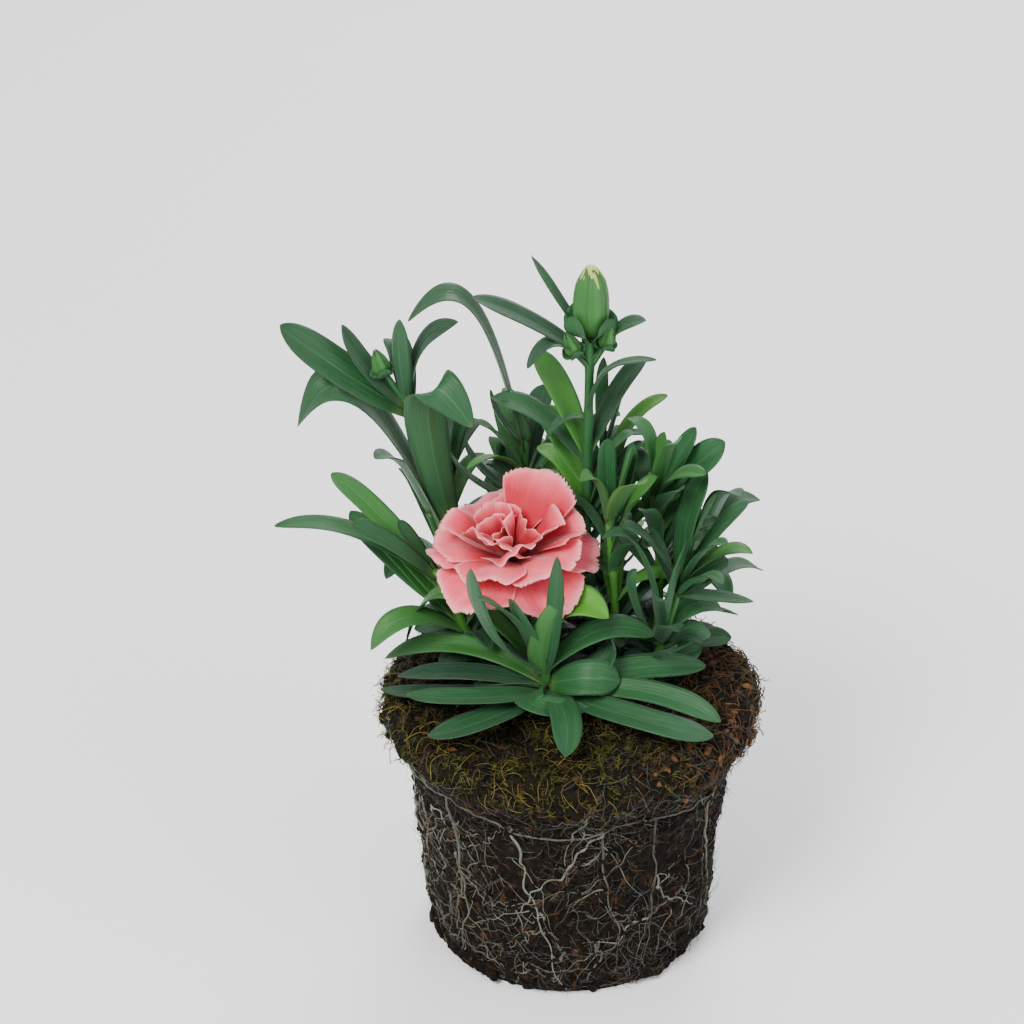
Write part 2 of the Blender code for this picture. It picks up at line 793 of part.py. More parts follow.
def bloom_head(group, colour):
    """All the petals, joined on the small heart that carries them."""
    frame = bloom_frame()
    pieces = []
    heart = turned(HEART_PROFILE, 10)
    pieces.append(mesh_object("heart", moved(heart, frame), group))
    for petal in bloom_petals():
        blade = sheet(PETAL_COLUMNS, PETAL_ROWS, petal_surface(petal, frame))
        pieces.append(mesh_object("petal", blade, group))
    return fuse("bloom_petals", pieces, colour, group)


def bud_frame(place, lean, heading):
    """A bud's frame: its foot at a place, its axis leaning by some degrees towards a heading."""
    axis = heading_vector(heading + 90)
    return Matrix.Translation(place) @ Matrix.Rotation(math.radians(lean), 4, axis)


def bud_pieces(place, radius, height, lean, heading, sides, teeth, bracts, group):
    """A closed bud: its swollen tube, pointed teeth at the mouth and bracts round its foot."""
    frame = bud_frame(place, lean, heading)
    profile = tuple((radius * r, height * z) for r, z in BUD_OUTLINE) + ((radius * 0.3, -1.0),)
    pieces = [mesh_object("bud", moved(turned(profile, sides), frame), group)]
    for i in range(teeth):
        heading = 360 * i / teeth + TOOTH_TURN
        crest = (0.36 * radius, 0, height * 0.22)
        tooth = Leaf(0, heading, -0.2 * radius, height * 0.4, crest, radius * 1.15)
        foot = heading_vector(heading) * radius * 0.7 + Vector((0, 0, height * 0.6))
        pieces.append(mesh_object("tooth", moved(leaf_bm(tooth, foot, rows=SCALE_ROWS), frame), group))
    for i in range(bracts):
        heading = 360 * i / bracts + BRACT_TURN
        crest = (1.3 * radius, 0, height * 0.08)
        bract = Leaf(0, heading, 1.15 * radius, height * 0.42, crest, radius * 1.25)
        blade = leaf_bm(bract, Vector((0, 0, -0.5)), rows=SCALE_ROWS)
        pieces.append(mesh_object("bract", moved(blade, frame), group))
    return pieces


def twig(start, end, radius, group):
    """A short stalk for a side bud."""
    return tube("stalk", [start, start.lerp(end, 0.5), end], [radius] * 3, group)


def extra_pieces(name, group):
    """The buds that stand on some shoots."""
    pieces = []
    if name == "shoot_bud":
        pieces += bud_pieces(BUD_PLACE, *BUD_SIZE, 0, 0, 10, 5, 4, group)
        for place, lean, heading in SIDE_BUDS:
            pieces.append(twig(SIDE_BUD_FORK, Vector(place) + Vector((0, 0, 0.5)), 0.9, group))
            pieces += bud_pieces(Vector(place), *SIDE_BUD_SIZE, lean, heading, 7, 0, 2, group)
    if name == "shoot_tall_left":
        pieces.append(twig(LEFT_BUD_FORK, LEFT_BUD_PLACE + Vector((0, 0, 0.5)), 1.0, group))
        pieces += bud_pieces(LEFT_BUD_PLACE, *LEFT_BUD_SIZE, 18, 180, 7, 0, 2, group)
    return pieces


def bloom_shoot():
    """The bloom's own stem, up to its calyx."""
    top = bloom_frame() @ Vector((0, 0, -CALYX_LENGTH))
    return Shoot(((-15, 8, 88), (-16, 7, 98), tuple(top)), (), 1.7)


def calyx_pieces(group):
    """The green tube that holds the petals: a cup whose hollow mouth takes the heart of the bloom."""
    cup = turned(CALYX_PROFILE, 12)
    mouth, brim = CALYX_PROFILE[0]
    for vert in cup.verts:
        if vert.co.z > brim - 0.1 and Vector((vert.co.x, vert.co.y)).length < mouth + 0.1:
            vert.co.z = HEART_PROFILE[-1][1] - GAP - 0.2
    return [mesh_object("calyx", moved(cup, bloom_frame()), group)]


def grow_shoot(name, shoot, room, group, colour):
    """One shoot: stem, buds and every leaf that finds room, as one body."""
    path = stem_path(shoot)[1:]
    extras = extra_pieces(name, group)
    pieces = [stem_tube(name, shoot, group)] + extras
    others = room.trees(name)
    own = [search_tree(piece.data) for piece in extras]
    for leaf in shoot.leaves:
        root = along(path, leaf.at)
        placed = place_leaf(leaf, root, others, own)
        if placed is None:
            continue
        fitted, outer = placed
        if outer:
            own.append(outer)
        bm = leaf_bm(fitted, root)
        room.add(name, bm)
        pieces.append(mesh_object("leaf", bm, group))
    return fuse(name, pieces, colour, group)


def surface_walk(tree, heading, height, centre_gap):
    """A point just off the side of the root ball at a heading and a height."""
    out = heading_vector(heading)
    start = out * 90 + Vector((0, 0, height))
    hit = tree.ray_cast(start, -out)[0]
    return hit + out * centre_gap


def clear_of(tree, points, gap):
    """Points pushed out until the straight runs between them stay a gap off the surface."""
    points = [point.copy() for point in points]
    for _ in range(12):
        worst = 0.0
        for i in range(len(points) - 1):
            for share in (0.0, 0.25, 0.5, 0.75, 1.0):
                middle = points[i].lerp(points[i + 1], share)
                near, normal, _, _ = tree.find_nearest(middle)
                depth = gap - (middle - near).dot(normal)
                if depth > 0.01:
                    worst = max(worst, depth)
                    points[i] += normal * depth * 0.6
                    points[i + 1] += normal * depth * 0.6
        if worst < 0.02:
            break
    return points


def root_paths():
    """Heading and height of each root's points: a ring round the shoulder, runners and branches."""
    chance = random.Random(23)
    ring = []
    for i in range(RING_POINTS):
        level = RING_HEIGHT + 2.0 * math.sin(i * 0.9) + chance.uniform(-0.7, 0.7)
        ring.append((360 * i / RING_POINTS, level))
    roots = [(ring + ring[:1], 1.0)]
    for i in range(RUNNERS):
        at = ring[round(i * RING_POINTS / RUNNERS)]
        heading, height = at
        run = [at]
        drift = chance.uniform(-1.2, 1.2)
        floor = chance.uniform(3.5, 16)
        while height > floor:
            drift = max(-3.0, min(3.0, drift + chance.uniform(-1.8, 1.8)))
            heading += drift
            height -= chance.uniform(7.0, 9.5)
            run.append((heading, max(height, 2.6)))
        roots.append((run, chance.uniform(0.8, 1.15)))
    mains = [run for run, _ in roots[1:]]
    for i in range(BRANCHES):
        parent = mains[i % len(mains)]
        heading, height = parent[chance.randrange(1, max(2, len(parent) - 1))]
        turn = chance.choice((-1, 1))
        run = [(heading, height)]
        for _ in range(chance.randrange(2, 5)):
            heading += turn * chance.uniform(5.0, 8.5)
            height = max(2.6, min(82.0, height + chance.uniform(-7.0, 2.0)))
            run.append((heading, height))
        roots.append((run, chance.uniform(0.55, 0.8)))
    for i in range(RISERS):
        heading, height = ring[round((i + 0.5) * RING_POINTS / RISERS)]
        run = [(heading, height)]
        for _ in range(3):
            heading += chance.uniform(-5, 5)
            height += chance.uniform(3.5, 5.5)
            run.append((heading, min(height, 80.0)))
        roots.append((run, 0.75))
    return roots


def root_net(tree, group, colour):
    """The roots that run over the outside of the ball, joined where they branch."""
    pieces = []
    for run, share in root_paths():
        radius = ROOT_RADIUS * share
        points = [surface_walk(tree, heading, height, ROOT_RADIUS + GAP) for heading, height in run]
        points = clear_of(tree, points, radius + GAP + 0.15)
        radii = [radius * (1 - 0.35 * i / len(points)) for i in range(len(points))]
        if run[0] == run[-1]:
            radii = [radius] * len(points)
        pieces.append(tube("root", points, radii, group, 0))
    return fuse("root_net", pieces, colour, group)


def main():
    """Build every piece of the plant."""
    clear_scene()
    plant = collection(PLANT)
    cutters = collection("cutters")
    peat = material("peat", (0.085, 0.055, 0.036), 0.95)
    root = material("root", (0.55, 0.50, 0.42), 0.8)
    green = material("leaf_green", (0.075, 0.165, 0.075), 0.55)
    pink = material("petal_pink", (0.82, 0.30, 0.31), 0.6)

    room = Room()
    ball_bm = root_ball_bm()
    ball_tree = BVHTree.FromBMesh(ball_bm)
    room.add("root_ball", ball_bm)
    ball = mesh_object("root_ball", ball_bm, plant)
    finish(ball, peat, plant)

    shoots = {**SHOOTS, **back_shoots()}
    stalk = bloom_shoot()
    bloom = bloom_head(plant, pink)
    room.add("bloom_petals", bloom.data, 1 / MM)
    calyx = calyx_pieces(plant)
    bloom_stem = fuse("bloom_stem", [stem_tube("bloom_stem", stalk, plant)] + calyx, green, plant)
    room.add("bloom_stem", bloom_stem.data, 1 / MM)
    for name, shoot in shoots.items():
        bare = stem_tube("bare", shoot, plant)
        room.add(name, bare.data, 1 / MM)
        bpy.data.objects.remove(bare)
        for piece in extra_pieces(name, plant):
            room.add(name, piece.data, 1 / MM)
            bpy.data.objects.remove(piece)
    for name, shoot in shoots.items():
        grow_shoot(name, shoot, room, plant, green)

    for shoot in list(shoots.values()) + [stalk]:
        hole_cutter(shoot, cutters)
    holes = ball.modifiers.new("stem_holes", "BOOLEAN")
    holes.operation = "DIFFERENCE"
    holes.operand_type = "COLLECTION"
    holes.collection = cutters
    holes.solver = "EXACT"
    root_net(ball_tree, plant, root)


main()
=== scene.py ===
"""The looks of a flowering dianthus that stands on its bare root ball.

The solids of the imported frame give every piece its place. The rules that set out the shoots, the
petals and the roots are repeated here with finer sections, and each leaf is fitted to the solid
that stands for it. Sizes are in millimetres and angles in degrees unless a name says otherwise, and
lengths are turned to metres when a mesh is made.
"""
import json
import logging
import math
import random
from dataclasses import dataclass, field, replace
from enum import Enum

import bmesh
import bpy
from mathutils import Matrix, Vector, noise
from mathutils.bvhtree import BVHTree
from mathutils.kdtree import KDTree

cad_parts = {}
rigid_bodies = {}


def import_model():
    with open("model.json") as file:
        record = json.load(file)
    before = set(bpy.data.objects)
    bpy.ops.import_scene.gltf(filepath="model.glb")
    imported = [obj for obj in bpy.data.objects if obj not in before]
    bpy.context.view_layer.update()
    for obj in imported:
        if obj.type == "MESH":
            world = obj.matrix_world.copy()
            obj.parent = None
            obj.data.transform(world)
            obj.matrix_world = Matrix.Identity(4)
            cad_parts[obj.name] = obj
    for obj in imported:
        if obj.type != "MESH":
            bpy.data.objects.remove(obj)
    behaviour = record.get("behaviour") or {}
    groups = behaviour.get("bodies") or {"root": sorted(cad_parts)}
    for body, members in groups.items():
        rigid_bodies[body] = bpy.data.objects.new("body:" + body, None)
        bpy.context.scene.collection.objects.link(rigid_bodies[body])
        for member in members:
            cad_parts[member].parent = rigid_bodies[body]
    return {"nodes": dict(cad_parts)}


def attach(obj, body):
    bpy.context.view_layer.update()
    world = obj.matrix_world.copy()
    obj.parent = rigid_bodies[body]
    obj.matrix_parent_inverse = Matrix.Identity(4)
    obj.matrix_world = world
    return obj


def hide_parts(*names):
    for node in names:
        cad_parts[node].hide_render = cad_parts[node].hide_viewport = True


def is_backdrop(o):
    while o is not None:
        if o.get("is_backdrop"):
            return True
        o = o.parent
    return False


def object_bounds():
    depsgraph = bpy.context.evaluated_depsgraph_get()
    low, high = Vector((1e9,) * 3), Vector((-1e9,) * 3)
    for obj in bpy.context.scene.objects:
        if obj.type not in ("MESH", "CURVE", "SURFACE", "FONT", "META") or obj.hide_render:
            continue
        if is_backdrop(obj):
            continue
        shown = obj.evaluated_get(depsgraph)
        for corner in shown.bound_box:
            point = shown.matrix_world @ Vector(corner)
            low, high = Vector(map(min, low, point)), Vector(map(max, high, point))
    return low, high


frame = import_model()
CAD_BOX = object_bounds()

LOG = logging.getLogger("dianthus")
MM = 0.001
BODY = "root"
BALL_HEIGHT = 88.0
Colour = tuple[float, float, float]
Place = tuple[float, float, float]
Rows = list[list[float]]
RootRun = list[tuple[float, float]]
Socket = bpy.types.NodeSocket
Value = Socket | float
Paintable = Socket | Colour


class Slot(Enum):
    """The material slots of the record."""

    PEAT = "peat"
    ROOTS = "roots"
    LEAVES = "leaves"
    PETALS = "petals"


@dataclass(frozen=True)
class Leaf:
    """One blade: where it leaves its stem, where its tip is, and the crest that its arch aims at."""

    at: float
    heading: float
    reach: float
    rise: float
    crest: tuple[float, float, float]
    width: float
    roll: float = 0.0


@dataclass(frozen=True)
class Shoot:
    """A stem through its points, with its leaves."""

    stem: tuple[tuple[float, float, float], ...]
    leaves: tuple[Leaf, ...]
    radius: float = 1.5


@dataclass(frozen=True)
class Petal:
    """One petal of the bloom, in the bloom's own frame."""

    heading: float
    tilt: float
    reach: float
    width: float
    curl: float
    wave: float
    phase: float
    twist: float
    shift: tuple[float, float] = (0.0, 0.0)


# The leaves' headings, reaches, rises and crests were mostly worked out by a separate program from
# points picked by eye at the camera's angle, in whole millimetres and degrees
SHOOTS = {
    "shoot_front": Shoot(
        ((-7, -12, 88), (-8, -13, 99), (-9, -14, 112)),
        (
            Leaf(8, 172, 47, -1, (25, 3, 8), 8.8),
            Leaf(7, 176, 52, -3, (25, 12, 3), 7.5),
            Leaf(6, -144, 45, 0, (30, 11, 6), 9.0),
            Leaf(6, -163, 45, 0, (26, 16, 7), 8.2),
            Leaf(8, -144, 29, -3, (22, -3, 8), 7.5, -15),
            Leaf(7, -82, 38, -1, (23, 5, 8), 7.8),
            Leaf(8, -70, 18, -1, (4, -29, 7), 8.0),
            Leaf(8, -8, 23, 3, (15, -13, 14), 9.5, 40),
            Leaf(8, 14, 51, 1, (29, -6, 10), 6.8, 35),
            Leaf(7, -18, 56, -2, (36, 6, 7), 6.8, 25),
            Leaf(6, -28, 57, 0, (40, -10, 6), 8.2, 15),
            Leaf(9, 13, 19, 17, (23, -7, 7), 7.5, 30),
            Leaf(14, 11, 35, 8, (17, -3, 23), 7.6, 20),
            Leaf(15, -25, 20, 23, (4, 3, 37), 10.0, 20),
            Leaf(11, -79, 16, 53, (10, 1, 23), 5.5),
            Leaf(12, -94, 12, 33, (8, -10, 17), 6.8),
            Leaf(14, -152, 32, 40, (16, 1, 33), 6.2, 20),
            Leaf(12, 154, 51, -1, (29, 21, 60), 8.4, 20),
            Leaf(15, -138, 28, 47, (27, 1, 20), 8.0, 20),
            Leaf(9, 167, 52, 1, (31, -10, 14), 7.0, 20),
            Leaf(13, -137, 20, 36, (12, -1, 24), 7.0, 20),
        ),
    ),
    "shoot_left": Shoot(
        ((-26, 6, 88), (-33, 4, 106), (-42, 2, 128)),
        (
            Leaf(18, -177, 33, 2, (24, 1, 22), 7.0, 20),
            Leaf(16, -172, 31, 33, (21, -1, 24), 6.5, 30),
            Leaf(22, -177, 30, 32, (20, 1, 27), 6.5, 30),
            Leaf(30, -170, 17, 27, (14, -1, 23), 5.5, 30),
            Leaf(38, 179, 52, 18, (28, 0, 27), 5.5, 20),
            Leaf(36, 172, 39, 26, (26, 0, 24), 6.5, 30),
            Leaf(40, 168, 27, 22, (19, 0, 21), 6.0, 30),
            Leaf(24, 173, 40, 27, (29, 1, 19), 7.0, 30),
        ),
    ),
    "shoot_tall_left": Shoot(
        ((-24, 26, 88), (-36, 26, 122), (-51, 22, 178)),
        (
            Leaf(36, -74, 21, 54, (6, -23, 93), 11.5, 20),
            Leaf(34, -168, 50, 51, (34, -1, 95), 12.0, 30),
            Leaf(89, -180, 39, 25, (23, 0, 13), 10.0, 45),
            Leaf(91, 175, 20, 27, (16, 0, 15), 7.0, 30),
            Leaf(92, -112, 4, 31, (4, 0, 17), 5.5),
            Leaf(92, 6, 16, 27, (0, 0, 26), 7.0, 20),
            Leaf(90, 125, 14, 18, (7, -1, 24), 7.0),
            Leaf(60, 80, 26, 22, (16, 0, 30), 7.0),
        ),
    ),
    "shoot_slender": Shoot(
        ((13, 32, 88), (11, 31, 128), (10, 30, 163)),
        (
            Leaf(70, 95, 3, 29, (2, 1, 16), 3.4),
            Leaf(68, 5, 6, 24, (4, 0, 14), 3.2),
            Leaf(62, -10, 14, 12, (5, 1, 16), 3.4),
            Leaf(62, 170, 8, 14, (4, 0, 8), 3.2),
            Leaf(48, 60, 18, 22, (8, 0, 22), 4.2),
            Leaf(48, -120, 5, 22, (6, 0, 12), 4.0),
        ),
        1.2,
    ),
    "shoot_bud": Shoot(
        ((6, 18, 88), (5, 19, 140), (5.5, 20, 203)),
        (
            Leaf(102, -163, 20, 2, (12, -2, 18), 6.0),
            Leaf(105, 178, 36, 17, (20, -1, 14), 6.5, 20),
            Leaf(104, -6, 17, 14, (8, 1, 15), 5.0, 20),
            Leaf(84, -16, 21, 23, (0, -4, 25), 4.5),
            Leaf(84, -165, 14, -6, (9, -1, 5), 3.2),
            Leaf(109, 150, 20, 26, (12, 1, 17), 4.0),
            Leaf(72, 158, 18, 32, (9, -1, 24), 9.0, 30),
            Leaf(68, 164, 31, 19, (15, -3, 21), 6.5, 20),
            Leaf(62, 146, 16, 22, (11, -1, 18), 8.0, 30),
            Leaf(72, 40, 24, 26, (12, 0, 24), 6.5),
            Leaf(103, 85, 22, 16, (12, 0, 18), 6.0),
        ),
        1.8,
    ),
    "shoot_right": Shoot(
        ((15, 8, 88), (14, 8, 112), (12, 8, 142)),
        (
            Leaf(48, 0, 6, 33, (1, 0, 21), 6.5),
            Leaf(44, -16, 14, 28, (3, -1, 21), 7.5, 30),
            Leaf(53, 75, 6, 28, (4, 1, 20), 5.0),
            Leaf(52, 42, 9, 28, (7, -1, 18), 5.0),
            Leaf(50, -158, 11, 21, (4, 1, 30), 6.5),
            Leaf(36, -60, 12, 16, (7, 0, 18), 6.0),
        ),
    ),
    "shoot_right_back": Shoot(
        ((28, 14, 88), (28, 14, 122), (25, 14, 156)),
        (
            Leaf(56, 0, 21, 23, (10, 0, 15), 8.5, 45),
            Leaf(60, 17, 13, 23, (7, 0, 13), 6.0, 40),
            Leaf(60, 145, 11, 24, (0, -3, 26), 5.5),
            Leaf(66, 33, 4, 16, (2, 1, 8), 4.5),
            Leaf(46, 40, 24, 20, (13, 0, 24), 7.0),
            Leaf(44, 100, 20, 18, (11, 0, 20), 6.5),
        ),
    ),
    "shoot_right_low": Shoot(
        ((24, -2, 88), (28, -2, 102), (34, -1, 126)),
        (
            Leaf(38, -5, 10, 33, (3, -1, 24), 4.5, 20),
            Leaf(38, 35, 9, 38, (1, 3, 29), 8.0, 30),
            Leaf(35, 159, 10, 15, (12, -1, 30), 7.5),
            Leaf(20, -179, 21, 37, (7, 0, 48), 6.0),
            Leaf(15, -153, 9, 32, (13, -4, 25), 5.0),
            Leaf(15, -31, 8, 42, (4, -2, 31), 5.0, 20),
            Leaf(35, -12, 24, 0, (7, -1, 2), 5.5),
            Leaf(22, 23, 20, 2, (11, 2, 13), 7.0, 30),
            Leaf(11, 18, 18, 6, (9, -3, 14), 6.5, 30),
        ),
    ),
    "shoot_middle": Shoot(
        ((-14, 31, 88), (-15, 32, 125), (-14, 33, 161)),
        (
            Leaf(70, -117, 5, 19, (1, 3, 5), 6.0),
            Leaf(69, 179, 11, 19, (8, 0, 7), 4.5),
            Leaf(48, -161, 26, 28, (22, -2, 11), 5.5),
            Leaf(50, -179, 18, 22, (17, 2, 11), 5.5),
            Leaf(54, 174, 9, 12, (9, 3, 14), 8.5, 30),
            Leaf(66, -172, 36, 46, (14, 0, 79), 7.5, 20),
            Leaf(58, 70, 20, 22, (11, 0, 20), 7.0),
            Leaf(36, 120, 24, 16, (14, 0, 22), 7.0),
        ),
    ),
}

# The back of the plant: shoots whose leaves stand in crossed pairs, as on the whole species
BACK_STEMS = {
    "shoot_back_left": ((-31, 31, 88), (-37, 37, 104), (-45, 43, 126)),
    "shoot_back": ((-2, 42, 88), (-3, 47, 106), (-5, 53, 130)),
    "shoot_back_right": ((33, 27, 88), (37, 31, 102), (43, 35, 120)),
}
BACK_PAIRS = 4
BACK_LEAF = Leaf(0, 0, 33, 4, (19, 0, 20), 7.5)
BACK_FOOT = 6
BACK_SWING = 18

# Bloom layers from the outside in: petals, tilt, reach, width, curl, wave
BLOOM_LAYERS = (
    (6, 0, 27.5, 28, 4, 1.9),
    (5, 17, 25.5, 27, 2, 2.2),
    (6, 36, 19.0, 20, 0, 2.0),
    (4, 58, 16.0, 17, -1, 1.8),
    (3, 74, 12.5, 12, -1, 1.3),
)
# The inner layers gather round two middles, and one broad petal stands up behind the right one
BLOOM_MIDDLES = ((-7.0, -1.5), (6.5, 1.5))
STANDING_PETAL = (72, 52, 24.0, 25.0, -1, 1.6, 200, 4, BLOOM_MIDDLES[1])

# How yellow-green a shoot's leaves are, from 0 for dark blue-green to 1, and the leaves that differ
SHOOT_TONES = {
    "shoot_front": 0.34,
    "shoot_left": 0.48,
    "shoot_tall_left": 0.20,
    "shoot_slender": 0.18,
    "shoot_bud": 0.24,
    "shoot_right": 0.56,
    "shoot_right_back": 0.54,
    "shoot_right_low": 0.36,
    "shoot_middle": 0.30,
}
LEAF_TONES = {
    ("shoot_front", 0): 0.06,
    ("shoot_front", 1): 0.06,
    ("shoot_front", 13): 1.0,
    ("shoot_front", 15): 0.75,
    ("shoot_front", 17): 0.62,
    ("shoot_front", 19): 0.6,
    ("shoot_bud", 6): 0.74,
    ("shoot_bud", 8): 0.7,
    ("shoot_left", 0): 0.62,
    ("shoot_left", 1): 0.58,
}


def heading_vector(angle: float) -> Vector:
    """Level unit vector at a compass angle."""
    return Vector((math.cos(math.radians(angle)), math.sin(math.radians(angle)), 0.0))


def smooth_path(points: list[Vector], steps: int) -> list[Vector]:
    """A smooth curve through points.

    Args:
        points: The places that the curve goes through.
        steps: How many spans lie between two of them.

    Returns:
        The points along the curve, with both ends.
    """
    knots = [Vector(point) for point in points]
    ends = [2 * knots[0] - knots[1]] + knots + [2 * knots[-1] - knots[-2]]
    path = []
    for i in range(1, len(ends) - 2):
        a, b, c, d = ends[i - 1 : i + 3]
        for step in range(steps):
            t = step / steps
            bend = (2 * a - 5 * b + 4 * c - d) * t**2 + (3 * b - a - 3 * c + d) * t**3
            path.append(0.5 * (2 * b + (c - a) * t + bend))
    path.append(knots[-1])
    return path


def along(path: list[Vector], distance: float) -> Vector:
    """The point at a distance along a path."""
    for start, end in zip(path, path[1:]):
        span = (end - start).length
        if distance <= span:
            return start.lerp(end, distance / span)
        distance -= span
    return path[-1].copy()


def bump_at(value: float, centre: float, width: float) -> float:
    """A smooth hump of height 1 round a centre."""
    return math.exp(-(((value - centre) / width) ** 2))


def tube_rings(path: list[Vector], radii: list[float], sides: int) -> list[list[Vector]]:
    """Rings round a path that don't twist along it.

    Args:
        path: The middle line.
        radii: The radius at each of its points.
        sides: The points of each ring.

    Returns:
        One ring of points for each point of the path.
    """
    rings = []
    side = (path[1] - path[0]).orthogonal().normalized()
    for i, place in enumerate(path):
        run = (path[min(i + 1, len(path) - 1)] - path[max(i - 1, 0)]).normalized()
        side = (side - run * side.dot(run)).normalized()
        other = run.cross(side)
        angles = [2 * math.pi * k / sides for k in range(sides)]
        rings.append([place + (side * math.cos(a) + other * math.sin(a)) * radii[i] for a in angles])
    return rings


@dataclass
class Shape:
    """Points, faces and painted values of one piece, gathered in millimetres."""

    places: list[Vector] = field(default_factory=list)
    faces: list[tuple[int, ...]] = field(default_factory=list)
    paints: dict[str, list[float]] = field(default_factory=dict)

    def loft(self, rings: list[list[Vector]], **paints: Rows | float) -> None:
        """Add a closed skin through rings of equally many points.

        Args:
            rings: The rings, from one end to the other.
            paints: Painted values: one for the whole skin, or one for each point of each ring.
        """
        first = len(self.places)
        sides = len(rings[0])
        for ring in rings:
            self.places.extend(ring)
        for row in range(len(rings) - 1):
            for i in range(sides):
                a = first + row * sides + i
                b = first + row * sides + (i + 1) % sides
                self.faces.append((a, b, b + sides, a + sides))
        last = first + (len(rings) - 1) * sides
        self.faces.append(tuple(range(first + sides - 1, first - 1, -1)))
        self.faces.append(tuple(range(last, last + sides)))
        for name, rows in paints.items():
            values = self.paints.setdefault(name, [0.0] * first)
            values.extend([0.0] * (first - len(values)))
            if isinstance(rows, float):
                values.extend([rows] * (len(rings) * sides))
            else:
                for row in rows:
                    values.extend(row)

    def tube(self, path: list[Vector], radii: list[float], sides: int, **paints: Rows | float) -> None:
        """Add a round closed tube along a path."""
        self.loft(tube_rings(path, radii, sides), **paints)

    def mesh(self, name: str) -> bpy.types.Mesh:
        """The piece's mesh in metres, with its faces pointing out and its painted values as attributes."""
        mesh = bpy.data.meshes.new(name)
        mesh.from_pydata([place * MM for place in self.places], [], self.faces)
        for paint, values in self.paints.items():
            layer = mesh.attributes.new(paint, "FLOAT", "POINT")
            layer.data.foreach_set("value", values + [0.0] * (len(self.places) - len(values)))
        bm = bmesh.new()
        bm.from_mesh(mesh)
        bmesh.ops.remove_doubles(bm, verts=bm.verts, dist=0.004 * MM)
        bmesh.ops.recalc_face_normals(bm, faces=bm.faces)
        bm.to_mesh(mesh)
        bm.free()
        mesh.shade_smooth()
        return mesh


def search_tree(mesh: bpy.types.Mesh) -> BVHTree:
    """A tree that finds the nearest face of a mesh."""
    return BVHTree.FromPolygons([v.co for v in mesh.vertices], [p.vertices for p in mesh.polygons])


def dress(
    mesh: bpy.types.Mesh, name: str, slot: Slot, finish: bpy.types.Material, *nodes: str
) -> bpy.types.Object:
    """Make a finished piece of a mesh.

    Args:
        mesh: The mesh, in metres and in the frame's own place.
        name: The piece's name.
        slot: The record's slot; not used.
        finish: Its material.
        nodes: The solids that it stands for.

    Returns:
        The piece, riding on the plant's body.
    """
    mesh.materials.clear()
    mesh.materials.append(finish)
    piece = bpy.data.objects.new(name, mesh)
    bpy.context.scene.collection.objects.link(piece)
    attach(piece, BODY)
    if nodes:
        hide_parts(*nodes)
    triangles = sum(len(face.vertices) - 2 for face in mesh.polygons)
    LOG.info("%s: %d triangles", name, triangles)
    return piece


def clamped(value: float) -> float:
    """A value kept from 0 to 1."""
    return min(1.0, max(0.0, value))


def add_node(tree: bpy.types.NodeTree, kind: str, inputs: dict, **settings) -> bpy.types.Node:
    """Add a node to a tree, set its options, and link or set its inputs.

    Args:
        tree: The tree of a material or of a scatter.
        kind: The node's type.
        inputs: A socket to link or a value to set, for each input by name or number.
        settings: The node's options.

    Returns:
        The new node.
    """
    made = tree.nodes.new(kind)
    for key, value in settings.items():
        setattr(made, key, value)
    for key, value in inputs.items():
        if isinstance(value, Socket):
            tree.links.new(value, made.inputs[key])
        else:
            made.inputs[key].default_value = value
    return made


